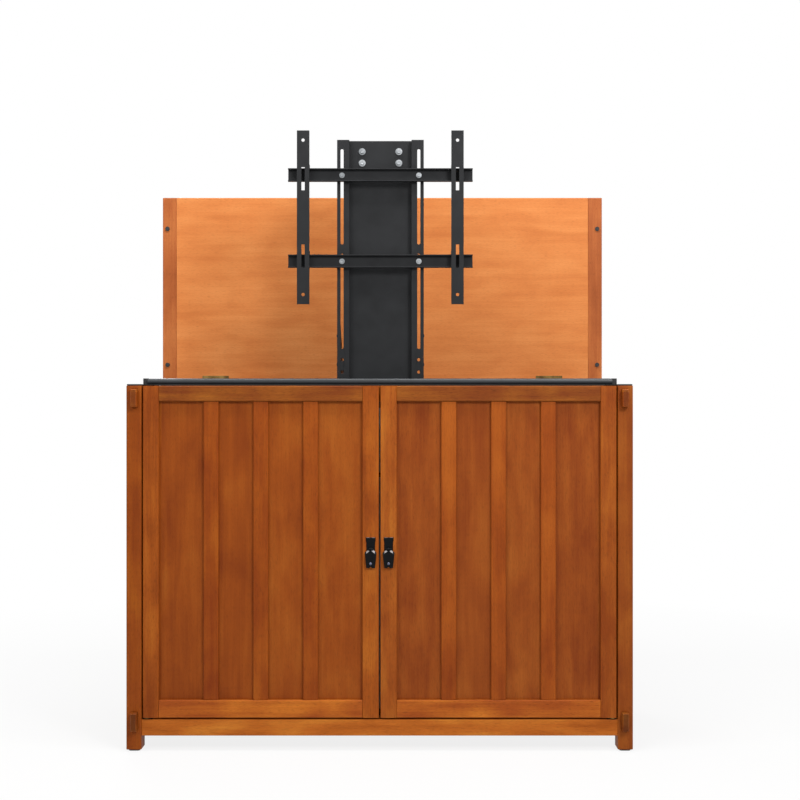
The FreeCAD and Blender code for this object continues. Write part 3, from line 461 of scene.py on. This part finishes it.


# ---- Doors ----
# Frame-and-panel doors: solid stiles and rails round a veneered panel, with three slats glued
# on it. Each board was stained apart, so neighbours differ in tone. The meeting stiles are toned
# lightest as a painted highlight of the light in the middle, and the top rails darker than the
# bottom ones as painted shade.
# The meeting stiles' lighter tone is a painted highlight, where the light falls brightest.
left_hinge_and_meeting = stained_wood(
    "stained_left_stiles", "Z", ("#7c3706", "#93480e", "#a65b18"), 10.7, boards=("X", -0.86, 0.56),
    contrast=1.2,
)
right_hinge_and_meeting = stained_wood(
    "stained_right_stiles", "Z", ("#7d3707", "#924911", "#a55c1a"), 11.3, boards=("X", -0.26, 0.56),
    contrast=1.2,
)
# The top rails are darkened by height to 0.56 of their colour: painted shade under the overhang.
door_rail_wood = stained_wood(
    "stained_door_rail", "X", ("#8f4311", "#a75918", "#bc6d21"), 12.9, boards=("Z", 0.0, 0.4), contrast=1.3,
    painted_height_shade=(1.0, 0.56)
)
left_panel_veneer = stained_wood(
    "left_door_veneer", "Z", ("#733004", "#88400a", "#975014"), 13.1, boards=("X", -0.5485, 0.125),
    contrast=0.85,
)
right_panel_veneer = stained_wood(
    "right_door_veneer", "Z", ("#733006", "#86400e", "#954f17"), 14.3, boards=("X", -0.0765, 0.125),
    contrast=0.95,
)
left_slat_wood = stained_wood(
    "stained_left_slat", "Z", ("#742d03", "#893f08", "#9a4f10"), 15.7, boards=("X", -0.611, 0.125)
)
right_slat_wood = stained_wood(
    "stained_right_slat", "Z", ("#763004", "#8b400a", "#9c4f12"), 16.9, boards=("X", -0.139, 0.125)
)
dress(["left_door_stiles"], left_hinge_and_meeting)
dress(["right_door_stiles"], right_hinge_and_meeting)
dress(["left_door_rails", "right_door_rails"], door_rail_wood)
dress(["left_door_panel"], left_panel_veneer, arris=0)
dress(["right_door_panel"], right_panel_veneer, arris=0)
dress(["left_door_slats"], left_slat_wood)
dress(["right_door_slats"], right_slat_wood)


# ---- Hinge leaves, pivot plates and door fittings ----
# Pressed brass, tumbled and left to dull, with browner clouds of tarnish. The pivot plates are
# blacked, because their front edges show as a line over the doors.
def metal(name, colour, dark, roughness, brush):
    """Bare metal with a tarnish mask from 25 mm noise and brush lines along one axis. The lines
    are noise stretched 60 times along that axis, line_mm apart."""
    line_mm = 0.5
    material, tree = finish_for(name)
    place = add(tree, "TexCoord").outputs["Object"]
    scale = [1.0, 1.0, 1.0]
    scale["XYZ".index(brush)] = 1 / 60
    stretched = add(tree, "Mapping", {"Vector": place, "Scale": scale})
    lines = add(tree, "TexNoise", {"Vector": stretched, "Scale": 1000 / line_mm, "Detail": 2.0})
    cloud = add(tree, "TexNoise", {"Vector": place, "Scale": 40.0, "Detail": 5.0})
    mask = add(tree, "MapRange", {0: cloud, 1: 0.35, 2: 0.65})
    tone = add(
        tree, "Mix", {0: mask, 6: linear(dark), 7: linear(colour)}, data_type="RGBA"
    ).outputs[2]
    spread = add(tree, "Math", {0: lines, 1: 0.16, 2: roughness - 0.08}, operation="MULTIPLY_ADD")
    bump = add(tree, "Bump", {"Height": lines, "Strength": 0.15, "Distance": 0.0001})
    surface = add(
        tree, "BsdfPrincipled", {"Base Color": tone, "Metallic": 1.0, "Roughness": spread, "Normal": bump}
    )
    add(tree, "OutputMaterial", {"Surface": surface})
    return material


brass = metal("dull_brass", "#8f7443", "#4f3d24", 0.42, "X")
brass_nodes = ["case_hinge_leaves", "lid_hinge_leaves", "left_door_fittings", "right_door_fittings"]
dress(brass_nodes, brass, arris=0.0003)
blacked_brass = metal("blacked_brass", "#211e1a", "#13110e", 0.55, "X")
dress(["door_pivot_plates"], blacked_brass, arris=0.0003)
dress(["door_catch"], nylon, arris=0.0008)
zinc = metal("zinc_plated_steel", "#b5b8bb", "#8d9194", 0.34, "Z")
poles = []
for x in (-30, 6):
    for z in (862, 870.5):
        poles.append(rounded_block((x, -247.7, z), (x + 24, -245.5, z + 3.5), 0.3, 0.2))
piece("catch_pole_strips", poles, zinc, "cabinet")


# ---- Lid ----
# A veneered panel with solid end boards, standing open on its hinges. Its underside, which
# faces the front, is toned a clearer orange: painted light of the lamps falling on it, which
# rear_shade takes back off the outer face. The end boards are toned darker.
# The bright orange tones are painted light on the front-facing underside.
lid_veneer = stained_wood(
    "lid_veneer", "X", ("#ae602b", "#c0733b", "#ce854a"), 17.3, contrast=0.7, rear_shade=0.55
)
lid_end_wood = stained_wood(
    "stained_lid_end", "Z", ("#833f1a", "#9d5428", "#b26936"), 18.1, rear_shade=0.75
)
dress(["lid_panel"], lid_veneer)
dress(["lid_ends"], lid_end_wood)
dress(["lid_bumpers"], rubber, arris=0.0008)


# ---- Lift base, columns and guides ----
# Three anodised aluminium extrusions run in each other on nylon guides, over a steel base plate.
aluminium = metal("anodised_aluminium", "#b3b6b9", "#adb0b3", 0.42, "Z")
dress(["outer_guide", "middle_guide", "middle_glide_ring", "inner_glide_ring"], nylon)
dress(["screw_bearing"], zinc, arris=0.0006)


def column_outline(half_x, half_y, corner, groove):
    """An outline of points at most 2 mm apart round a rectangle with rounded corners. Where a
    point on the front or back is under 4 mm from a quarter of the width, or on a side from the
    middle, it moves in by the groove's depth."""
    across = np.linspace(-1, 1, 76)[1:-1]
    up = np.linspace(-1, 1, 56)[1:-1]
    quarter = np.linspace(0, math.pi / 2, 7)
    reach_x, reach_y = half_x - corner, half_y - corner

    def in_groove(distance):
        return groove * np.clip((4.6 - np.abs(distance)) / 0.6, 0, 1)

    def bend(start, centre):
        return np.column_stack(
            [centre[0] + corner * np.cos(quarter + start), centre[1] + corner * np.sin(quarter + start)]
        )

    x, y = across * reach_x, up * reach_y
    dip_x = in_groove(np.abs(x) - half_x / 2)
    dip_y = in_groove(y)
    return np.concatenate(
        [
            bend(0, (reach_x, reach_y)),
            np.column_stack([x[::-1], half_y - dip_x[::-1]]),
            bend(math.pi / 2, (-reach_x, reach_y)),
            np.column_stack([-half_x + dip_y[::-1], y[::-1]]),
            bend(math.pi, (-reach_x, -reach_y)),
            np.column_stack([x, -half_y + dip_x]),
            bend(1.5 * math.pi, (reach_x, -reach_y)),
            np.column_stack([half_x - dip_y, y]),
        ]
    )


def column_tube(node):
    """A tube where its node stands: the outer outline carried up, the inner one carried down,
    joined at both mouths with an arris. Only the outside has the grooves."""
    wall, arris, corner, groove = 4.0, 0.5, 6.0, 1.5
    low, high = node_corners(node)
    middle, half = (low + high) / 2, (high - low) / 2
    rows = []
    outside = ((arris, 0, 0), (0, arris, 0), (0, arris, 1), (arris, 0, 1))
    inside = ((wall, 0, 1), (wall, 0, 0))
    for inset, lift, upper in outside + inside:
        depth = groove * (inset < wall)
        outline = column_outline(half[0] - inset, half[1] - inset, max(corner - inset, 0.5), depth)
        z = high[2] - lift if upper else low[2] + lift
        rows.append(np.column_stack([outline + middle[:2], np.full(len(outline), z)]))
    return np.array(rows), True, True, False


for stage, body in (("outer", "cabinet"), ("middle", "middle_stage"), ("inner", "mast")):
    node = stage + "_column"
    piece(stage + "_extrusion", [column_tube(node)], aluminium, body, [node])


def spokes(axis, angle):
    """Unit vectors at right angles to an axis: cos a times a first one plus sin a times a second."""
    first = np.cross(axis, (0.0, 1.0, 0.0) if abs(axis[1]) < 0.9 else (1.0, 0.0, 0.0))
    second = np.cross(axis, first)
    return np.cos(angle)[:, None] * first + np.sin(angle)[:, None] * second


def turned(profile, centre, axis=(0, 0, 1), steps=40):
    """A shape off the lathe: (radius, place along the axis) pairs swept round the axis."""
    axis = np.array(axis, float)
    around = spokes(axis, np.arange(steps) * 2 * math.pi / steps)
    radius, along = np.array(profile, float).T
    points = np.array(centre) + radius[:, None, None] * around + along[:, None, None] * axis
    return points, False, True, True


def hex_bolt(centre, axis, across, steps=36):
    """A hexagon bolt head on a washer. The head's radius is a / cos(b) with b the angle from the
    middle of a flat and a half the width across flats. Over it come a turned chamfer, which ends
    in a circle of radius a, and a dished top."""
    half, height, seat = across / 2, 0.65 * across, 1.2
    rim = [(half * 0.9, 0), (half * 1.75, 0), (half * 1.85, 0.3), (half * 1.75, seat), (half, 1.3)]
    washer = turned(rim, centre, axis)
    angle = np.arange(steps) * 2 * math.pi / steps
    flat = half / np.cos((angle + math.pi / 6) % (math.pi / 3) - math.pi / 6)
    rows = [(flat, seat), (flat, seat + height * 0.82)]
    for share, rise in ((1.0, 1.0), (0.62, 1.0), (0.52, 0.9)):
        rows.append((np.full(steps, half * share), seat + height * rise))
    axis = np.array(axis, float)
    around = spokes(axis, angle)
    head = [np.array(centre) + r[:, None] * around + h * axis for r, h in rows]
    return [washer, (np.array(head), False, True, True)]


# ---- Lead screw ----
# A four-start trapezoid screw, 16 mm thick with a lead of 16 mm, rolled from zinc-plated bar, with
# a turned journal that stands in its bearing.
screw_y = -39.0


def screw_thread(low, high, radius, depth, lead, starts):
    """Radius at angle a and height z: radius less depth times a clipped triangle wave of
    starts (z / lead - a / 2 pi), which is 0 on the crests and 1 in the roots. Near each end the
    thread runs out into a chamfer."""
    run_out_length, chamfer = 3.0, 1.0
    z = np.arange(low, high, 0.8)[:, None]
    angle = np.arange(40)[None, :] * 2 * math.pi / 40
    phase = (starts * (z / lead - angle / (2 * math.pi))) % 1.0
    root = np.clip((1 - np.abs(phase * 2 - 1) * 2.2 + 0.6) / 1.2, 0, 1)
    run_out = np.clip(np.minimum(z - low, high - z) / run_out_length, 0, 1)
    r = radius - depth * root * run_out - (1 - run_out) * chamfer
    points = np.stack([r * np.cos(angle), screw_y + r * np.sin(angle), z + 0 * angle], -1)
    return points, False, True, True


low, high = node_corners("lead_screw")
journal = turned([(5.5, low[2]), (6.0, low[2] + 0.5), (6.0, low[2] + 13)], (0, screw_y, 0))
thread = screw_thread(low[2] + 12.5, high[2], radius=8.0, depth=1.3, lead=16.0, starts=4)
piece(
    "threaded_lead_screw", [journal, thread],
    zinc, "screw", ["lead_screw"], sharp=60,
)
dress(["drive_nut"], nylon)


# ---- Powder-coated steel ----
# Laser-cut and folded sheet, shot and powder-coated black. The coat has an orange-peel skin of
# about 1 mm and a faint mottle.
def powder_coat(name, colour, roughness, peel_mm=1.2, sheen=0.35):
    """Baked powder: one colour with a faint mottle, orange-peel bump from noise of peel_mm."""
    material, tree = finish_for(name)
    place = add(tree, "TexCoord").outputs["Object"]
    peel = add(tree, "TexNoise", {"Vector": place, "Scale": 1000 / peel_mm, "Detail": 1.0})
    mottle = add(tree, "TexNoise", {"Vector": place, "Scale": 22.0, "Detail": 5.0})
    shade = add(tree, "MapRange", {0: mottle, 1: 0.3, 2: 0.7, 3: 0.85, 4: 1.2})
    tone = add(
        tree, "Mix", {0: 1.0, 6: linear(colour), 7: shade}, data_type="RGBA", blend_type="MULTIPLY"
    ).outputs[2]
    spread = add(tree, "MapRange", {0: mottle, 1: 0.3, 2: 0.7, 3: roughness + 0.06, 4: roughness - 0.05})
    bump = add(tree, "Bump", {"Height": peel, "Strength": 0.12, "Distance": 0.0002})
    surface = add(
        tree,
        "BsdfPrincipled",
        {"Base Color": tone, "Roughness": spread, "IOR": 1.5, "Specular IOR Level": sheen, "Normal": bump},
    )
    add(tree, "OutputMaterial", {"Surface": surface})
    return material


black_powder = powder_coat("black_powder_coat", "#121315", 0.62, sheen=0.22)
steel_nodes = ["base_plate", "mast_head", "mast_plate", "deck_brackets", "vesa_rails", "vesa_arms"]
dress(steel_nodes, black_powder, arris=0.0005)
motor_paint = powder_coat("satin_motor_paint", "#1a1c1e", 0.40, peel_mm=2.0)


# ---- Gear motor ----
# A die-cast gearbox with cooling ribs, and over it a drawn steel motor can with rolled beads,
# held by four long bolts through its end cap.
motor_y, base_plate_top, gearbox_height = 55.0, 67, 62


def gear_motor():
    """Blocks and lathe shapes stacked on the base plate: the gearbox and its cover, three ribs on
    each side at quarters of the gearbox's height, the can, and the bearing cap."""
    middle = (0.0, motor_y, 0.0)
    grids = [rounded_block((-42, 16, base_plate_top), (42, 94, 127), 8.0, 2.0)]
    grids.append(rounded_block((-38, 20, 126), (38, 90, 129.5), 8.0, 1.0))
    for rise in (0.25, 0.5, 0.75):
        z = base_plate_top + gearbox_height * rise
        for side in (-1, 1):
            x0, x1 = sorted((side * 38, side * 45))
            grids.append(rounded_block((x0, 28, z - 2), (x1, 82, z + 2), 1.5, 0.8))
    can = [(30, 128), (36, 129), (36, 140), (35.2, 141), (35.2, 144), (36, 145), (36, 236), (35.2, 237)]
    can += [(35.2, 240), (36, 241), (36, 253), (34.5, 257), (31, 259), (14, 259), (13, 260)]
    grids.append(turned(can, middle, steps=64))
    grids.append(turned([(13, 258), (12, 264), (11, 265), (4, 265)], middle))
    return grids


up, from_axis, end_cap_z = (0, 0, 1), 24, 258.6
motor_bolts = []
for turn in range(4):
    angle = math.radians(45 + 90 * turn)
    spot = (from_axis * math.cos(angle), motor_y + from_axis * math.sin(angle), end_cap_z)
    motor_bolts += hex_bolt(spot, up, across=6.0)
piece("gear_motor_case", gear_motor(), motor_paint, "cabinet", ["gear_motor"])
piece("motor_bolts", motor_bolts, zinc, "cabinet")


# ---- Control box ----
# Two moulded halves in textured black plastic, with a mains inlet in the back and two sockets
# for the hand control and the motor lead in the front.
control_plastic = moulded("control_box_plastic", "#26282a", 0.8, 0.55)
dress(["control_box"], control_plastic)
box_top = 142
pin_spots = ((0, 99), (-6.5, 92), (6.5, 92))
pins = [rounded_block((x - 1, 127, z - 2.3), (x + 1, 137, z + 2.3), 0.4, 0.4) for x, z in pin_spots]
piece("inlet_pins", pins, zinc, "cabinet")
lens = moulded("green_lens_plastic", "#2c6236", 0.4, 0.22, bump_strength=0.05)
dome = [(2.6, -1.0), (2.6, 0.4), (2.4, 1.1), (1.8, 1.8), (0.9, 2.2), (0.3, 2.3)]
lamp = turned(dome, (52, 106, box_top), steps=24)
piece("running_lamp", [lamp], lens, "cabinet")


# ---- Deck ----
# A board with black laminate on both faces and a thick edge band routed round at its arrises, so
# that the upper one catches the light. It is cut out at the back for the mast.
laminate = powder_coat("black_laminate", "#222528", 0.40, peel_mm=0.8, sheen=0.45)


def edged_board(outline, low, high, radius, steps=5):
    """A board with rounded arrises. The outline runs anticlockwise, and a row of it moves in by
    d = radius (1 - sin a) along each corner's mitre: d times the sum of the two sides' normals
    over 1 + their dot product. Its height is radius (1 - cos a) from the nearer face."""
    corners = np.array(outline, float)
    side = np.roll(corners, -1, 0) - corners
    normal = np.column_stack([side[:, 1], -side[:, 0]]) / np.hypot(*side.T)[:, None]
    before = np.roll(normal, 1, 0)
    mitre = (before + normal) / (1 + np.sum(before * normal, 1))[:, None]
    turn = np.linspace(0, math.pi / 2, steps)
    inset, rise = radius * (1 - np.sin(turn)), radius * (1 - np.cos(turn))
    rows = []
    levels = np.concatenate([low + rise, high - rise[::-1]])
    for z, less in zip(levels, np.concatenate([inset, inset[::-1]])):
        rows.append(np.column_stack([corners - less * mitre, np.full(len(corners), z)]))
    return np.array(rows), False, True, True


low, high = node_corners("deck")
slot_half, slot_front = 90.0, -107.0
deck_outline = [
    (low[0], low[1]), (high[0], low[1]), (high[0], high[1]), (slot_half, high[1]),
    (slot_half, slot_front), (-slot_half, slot_front), (-slot_half, high[1]), (low[0], high[1]),
]
piece(
    "laminated_deck", [edged_board(deck_outline, low[2], high[2], radius=6.5)],
    laminate, "mast", ["deck"], sharp=40,
)
dress(["deck_bumpers"], rubber, arris=0.001)


# ---- Felt strip ----
# A strip of black felt glued on the front top rail, just under the closed lid. It closes the slit
# in front of the deck. Thinner felt goes on over the pivot plates and their screws.
felt = moulded("pressed_felt", "#121212", 1.5, 0.95, bump_strength=0.6)
felt_front, felt_back, felt_top = -243, -228, 919.6
felts = [rounded_block((-569.6, felt_front, 916), (569.6, felt_back, felt_top), 1.0, 0.8)]
for inner, outer, bottom in ((569.7, 594.2, 918), (594.3, 597.6, 916)):
    for x0, x1 in ((inner, outer), (-outer, -inner)):
        felts.append(rounded_block((x0, felt_front, bottom), (x1, felt_back, felt_top), 0.8, 0.4))
piece("felt_rest_strip", felts, felt, "cabinet")


# ---- Bolts, rivets and screws ----
# Zinc-plated hexagon bolts hold the lift's steel parts, and rivets join the brackets to the mast.
# Brass screws hold the hinge leaves, and blacked ones the pivot plates.
def screw_heads(places, axis, radius, height):
    """Round heads with a shallow dome: four radii, each smaller and higher than the last."""
    dome = [(radius, -0.4), (radius, height * 0.3), (radius * 0.9, height * 0.65)]
    dome += [(radius * 0.6, height * 0.92), (radius * 0.25, height)]
    return [turned(dome, place, axis, steps=20) for place in places]


forward, back = (0, -1, 0), (0, 1, 0)
base_bolts, head_bolts, rail_bolts, foot_bolts, rivets = [], [], [], [], []
for side in (-1, 1):
    for y in (-116, 114):
        base_bolts += hex_bolt((side * 95, y, base_plate_top), up, across=13.0)
    for z in (1500, 1530):
        head_bolts += hex_bolt((side * 48, -114, z), forward, across=10.0)
    for z in (1241, 1465):
        rail_bolts += hex_bolt((side * 100, -134, z), forward, across=8.0)
        rail_bolts += hex_bolt((side * 100, -128, z), back, across=8.0)
    for y in (-71, 89):
        foot_bolts += hex_bolt((side * 99, y, 939), up, across=7.0)
    rivet_spots = [(side * 113, -123.5, z) for z in (972.5, 1047.5)]
    rivets += screw_heads(rivet_spots, (side, 0, 0), radius=4.0, height=1.6)
piece("base_plate_bolts", base_bolts, zinc, "cabinet")
piece("mast_head_bolts", head_bolts, zinc, "mast")
piece("rail_bolts", rail_bolts, zinc, "mast")
piece("bracket_foot_bolts", foot_bolts, zinc, "mast")
piece("bracket_rivets", rivets, black_powder, "mast")

box_spots = [(x, y, box_top) for x in (-63, 63) for y in (107, 133)]
box_screws = screw_heads(box_spots, up, radius=2.6, height=1.3)
piece("control_box_screws", box_screws, zinc, "cabinet")
case_screws, lid_screws, pivot_screws = [], [], []
for hinge_x in (-482, 0, 482):
    case_spots = [(hinge_x + dx, 247, 917.8) for dx in (-24, 0, 24)]
    case_screws += screw_heads(case_spots, up, radius=3.2, height=0.15)
    lid_spots = [(hinge_x + dx, 266.2, 937) for dx in (-30, -12, 12, 30)]
    lid_screws += screw_heads(lid_spots, forward, radius=3.2, height=0.15)
for side in (-1, 1):
    for y, z, radius, height in ((-233, 918, 3.0, 0.7), (-250.5, 81, 2.8, 0.6)):
        pivot_spots = [(side * x, y, z) for x in (576, 588)]
        pivot_screws += screw_heads(pivot_spots, up, radius, height)
piece("case_hinge_screws", case_screws, brass, "cabinet")
piece("lid_hinge_screws", lid_screws, brass, "lid")
piece("pivot_plate_screws", pivot_screws, blacked_brass, "cabinet")


# ---- Pulls ----
# Hand-forged iron: a flared back plate with one lug, and a pendant forked round the lug on a
# riveted pin. Its shoulders are filed to a wide bevel, and a rivet near the foot stops it.
pull_x, knuckle_z = 22.5, 508.5


def forged_iron_with_painted_glints(name, black, glint_tone):
    """Forged iron blacked in oil: hammer dimples 5 mm apart over a 0.8 mm scale. A surface that
    leans up, but isn't level, takes a pale metallic colour within 10 mm of the middle of a pull: a
    painted highlight, the glint of the light from above. The lug, up to 3 mm from that middle, and
    the knuckles, up to 4 mm from their height, stay black."""
    material, tree = finish_for(name)
    coordinates = add(tree, "TexCoord")
    place = coordinates.outputs["Object"]
    dimples = add(tree, "TexVoronoi", {"Vector": place, "Scale": 200.0}, feature="SMOOTH_F1")
    scale_skin = add(tree, "TexNoise", {"Vector": place, "Scale": 1250.0, "Detail": 2.0})
    up = add(tree, "SeparateXYZ", {0: coordinates.outputs["Normal"]}).outputs["Z"]
    ragged = add(tree, "Math", {0: scale_skin, 1: 0.25, 2: up}, operation="MULTIPLY_ADD")
    leaning = add(tree, "MapRange", {0: ragged, 1: 0.44, 2: 0.60})
    level = add(tree, "MapRange", {0: up, 1: 0.80, 2: 0.92, 3: 1.0, 4: 0.0})
    at = add(tree, "SeparateXYZ", {0: place}).outputs
    from_cabinet_middle = add(tree, "Math", {0: at["X"]}, operation="ABSOLUTE")
    from_pull = add(tree, "Math", {0: from_cabinet_middle, 1: pull_x / 1000}, operation="SUBTRACT")
    off_middle = add(tree, "Math", {0: from_pull}, operation="ABSOLUTE")
    near_pull_middle = add(tree, "MapRange", {0: off_middle, 1: 0.0095, 2: 0.0115, 3: 1.0, 4: 0.0})
    off_lug = add(tree, "MapRange", {0: off_middle, 1: 0.0022, 2: 0.0042})
    above_knuckle = add(tree, "Math", {0: at["Z"], 1: knuckle_z / 1000}, operation="SUBTRACT")
    from_knuckle = add(tree, "Math", {0: above_knuckle}, operation="ABSOLUTE")
    off_knuckle = add(tree, "MapRange", {0: from_knuckle, 1: 0.0035, 2: 0.0050})
    painted_glint_mask = add(tree, "Math", {0: leaning, 1: level}, operation="MULTIPLY")
    for part in (near_pull_middle, off_lug, off_knuckle):
        painted_glint_mask = add(tree, "Math", {0: painted_glint_mask, 1: part}, operation="MULTIPLY")
    tone = add(tree, "Mix", {0: painted_glint_mask, 6: linear(black), 7: linear(glint_tone)}, data_type="RGBA").outputs[2]
    metallic = add(tree, "Math", {0: painted_glint_mask, 1: 0.75}, operation="MULTIPLY")
    spread = add(tree, "MapRange", {0: scale_skin, 1: 0.3, 2: 0.7, 3: 0.28, 4: 0.40})
    height = add(tree, "Math", {0: dimples, 1: 4.0, 2: scale_skin}, operation="MULTIPLY_ADD")
    bump = add(tree, "Bump", {"Height": height, "Strength": 0.12, "Distance": 0.0003})
    surface = add(
        tree,
        "BsdfPrincipled",
        {
            "Base Color": tone,
            "Metallic": metallic,
            "Roughness": spread,
            "IOR": 1.45,
            "Specular IOR Level": 0.12,
            "Normal": bump,
        },
    )
    add(tree, "OutputMaterial", {"Surface": surface})
    return material


# The pale metal on the pulls' upward-leaning faces is a painted highlight, not wear.
iron = forged_iron_with_painted_glints("blacked_iron_painted_glints", "#07080a", "#a5a0a0")


def forged_leaf(middle, half_width, top, foot, bevels, front, back, levels):
    """A flat forging as a grid: x = w(v) t and z runs from top(x) to foot(x) as v goes 0 to 1.
    The front stands at y = front, less for each bevel (distance, width, depth) the depth times
    1 - distance / width where that is over 0. The back is flat, and both ends close to a line."""
    t = np.concatenate([[-1, -0.97, -0.93, -0.88], np.linspace(-0.8, -0.22, 7), [-0.196, -0.18]])
    t = np.concatenate([t, [-0.1, 0.0, 0.1], -t[::-1]])
    v = levels[:, None]
    x = half_width(v) * t[None, :]
    high, low = top(x), foot(x)
    z = high + v * (low - high)
    y = front + 0 * x
    for distance, width, depth in bevels(x, half_width(v) - np.abs(x), high - z, z - low):
        y = np.maximum(y, front + depth * np.clip(1 - distance / width, 0, 1))
    face = np.stack([x + middle, y, z], -1)
    rear = np.stack([x + middle, back + 0 * x, z], -1)[:, ::-1]
    ring = np.concatenate([face, rear], 1)
    ends = ring[[0, -1]].copy()
    ends[:, :, 1] = (front + back) / 2 + 0.5
    return np.concatenate([ends[:1], ring, ends[1:]]), False, True, False


def knuckle(inner, outer, y, z, radius, taper, bore, steps=32):
    """A ring along x that tapers to its outer end: along the skin, then back through the bore."""
    shrunk = radius - taper
    profile = np.array([(inner, radius), (outer, shrunk), (outer, bore), (inner, bore)])
    angle = np.arange(steps) * 2 * math.pi / steps
    ring = np.stack(
        [
            profile[:, 0][:, None] + 0 * angle,
            y + profile[:, 1][:, None] * np.cos(angle),
            z + profile[:, 1][:, None] * np.sin(angle),
        ],
        -1,
    )
    return ring, True, True, False


rivet_iron = metal("bare_iron_rivet", "#6d6f82", "#4c4e5c", 0.42, "X")
face_y, plate_back = -271.5, -269.0
plate_high, plate_low = 535.5, 471.5
pin_y, pin_z, rivet_z = -276.0, 506.0, 470.5
pendant_front, pendant_back = pin_y - 2.5, pin_y + 2.5
shoulder_high, pendant_low = 508.3, 459.5
lug_radius, lug_slot_half, lug_slot_floor = 3.4, 2.75, 502.1
knuckle_inner, knuckle_outer = 2.8, 7.0
plate_levels = np.array(
    [0, 0.02, 0.04, 0.07, 0.12, 0.16, 0.2, 0.25, 0.35, 0.5, 0.55, 0.6, 0.7, 0.8, 0.9, 0.96, 1]
)
pendant_levels = np.array(
    [0, 0.02, 0.05, 0.08, 0.11, 0.125, 0.14, 0.2, 0.3, 0.4, 0.5, 0.6, 0.7, 0.8, 0.9, 0.95, 0.975, 1]
)


def plate_half_width(v):
    """12.5 mm at the flare, 11 at the waist and 8 behind the pendant, tapering between."""
    return np.interp(v, [0, 0.12, 0.2, 0.5, 0.6, 1], [12.5, 12.3, 11, 11, 8, 8])


def plate_top(x):
    return plate_high + 0 * x


def plate_foot(x):
    return plate_low + 0 * x


def plate_bevels(x, side, below_top, above_foot):
    """Along the sides, the top and the foot, each as (distance, width, depth)."""
    return [(side, 1.4, 1.5), (below_top, 1.7, 0.8), (above_foot, 1.4, 1.5)]


def pendant_half_width(v):
    """14.5 mm at the shoulders, then a taper with a slight belly to 11 at the foot."""
    return 14.5 - 3.5 * np.clip((v - 0.08) / 0.92, 0, 1) ** 1.15


def pendant_top(x):
    """Shoulders that fall 0.88 mm per mm from the knuckles outwards, and the slot for the lug."""
    shoulder = shoulder_high - 0.88 * np.maximum(np.abs(x) - knuckle_inner, 0)
    return np.where(np.abs(x) < lug_slot_half, lug_slot_floor, shoulder)


def pendant_foot(x):
    """Flat, with a notch 3.5 mm high and 7 wide."""
    return pendant_low + np.maximum(3.5 - np.abs(x), 0)


def pendant_bevels(x, side, below_top, above_foot):
    """As on the plate, with a wide bevel along the shoulders and none at the slot."""
    shoulder = np.where(np.abs(x) < lug_slot_half, 9.0, below_top * 0.75)
    return [(side, 1.6, 1.6), (shoulder, 5.2, 3.6), (above_foot, 1.6, 1.4)]


ear_angle = np.linspace(-math.pi / 2, math.pi / 2, 12)
ear = np.column_stack([pin_y - lug_radius * np.cos(ear_angle), pin_z + lug_radius * np.sin(ear_angle)])
ear = np.concatenate([ear, [(face_y + 1, pin_z + lug_radius), (face_y + 1, pin_z - lug_radius)]])
pin_profile = [(0.6, -7.5), (1.2, -7.3), (1.5, -7.0), (1.5, 7.0), (1.2, 7.3), (0.6, 7.5)]
rivet_profile = [(3.6, 0), (3.5, 0.5), (3.0, 1.1), (2.0, 1.5), (0.8, 1.65)]

for side, name in ((-1, "left"), (1, "right")):
    x = side * pull_x
    leaf = forged_leaf(
        x, plate_half_width, plate_top, plate_foot, plate_bevels, face_y, plate_back, plate_levels
    )
    lug = np.array(
        [
            np.column_stack([np.full(len(ear), x + dx), (ear - (pin_y, pin_z)) * size + (pin_y, pin_z)])
            for dx, size in ((-2.4, 0.9), (-2.1, 1.0), (2.1, 1.0), (2.4, 0.9))
        ]
    )
    pin = turned(pin_profile, (x, pin_y, pin_z), axis=(1, 0, 0), steps=20)
    piece(
        name + "_forged_plate", [leaf, (lug, False, True, True), pin],
        iron, name + "_door", [name + "_pull_plate"],
    )

    body = forged_leaf(
        x, pendant_half_width, pendant_top, pendant_foot, pendant_bevels,
        pendant_front, pendant_back, pendant_levels,
    )
    rivet = turned(rivet_profile, (x, pendant_front, rivet_z), forward, steps=24)
    piece(name + "_pull_rivet", [rivet], rivet_iron, name + "_pendant")
    knuckles = []
    for way in (-1, 1):
        inner, outer = x + way * knuckle_inner, x + way * knuckle_outer
        knuckles.append(knuckle(inner, outer, pin_y, pin_z, lug_radius, taper=1.3, bore=1.55))
    piece(
        name + "_forged_pendant", [body] + knuckles,
        iron, name + "_pendant", [name + "_pull_pendant"],
    )


low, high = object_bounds()
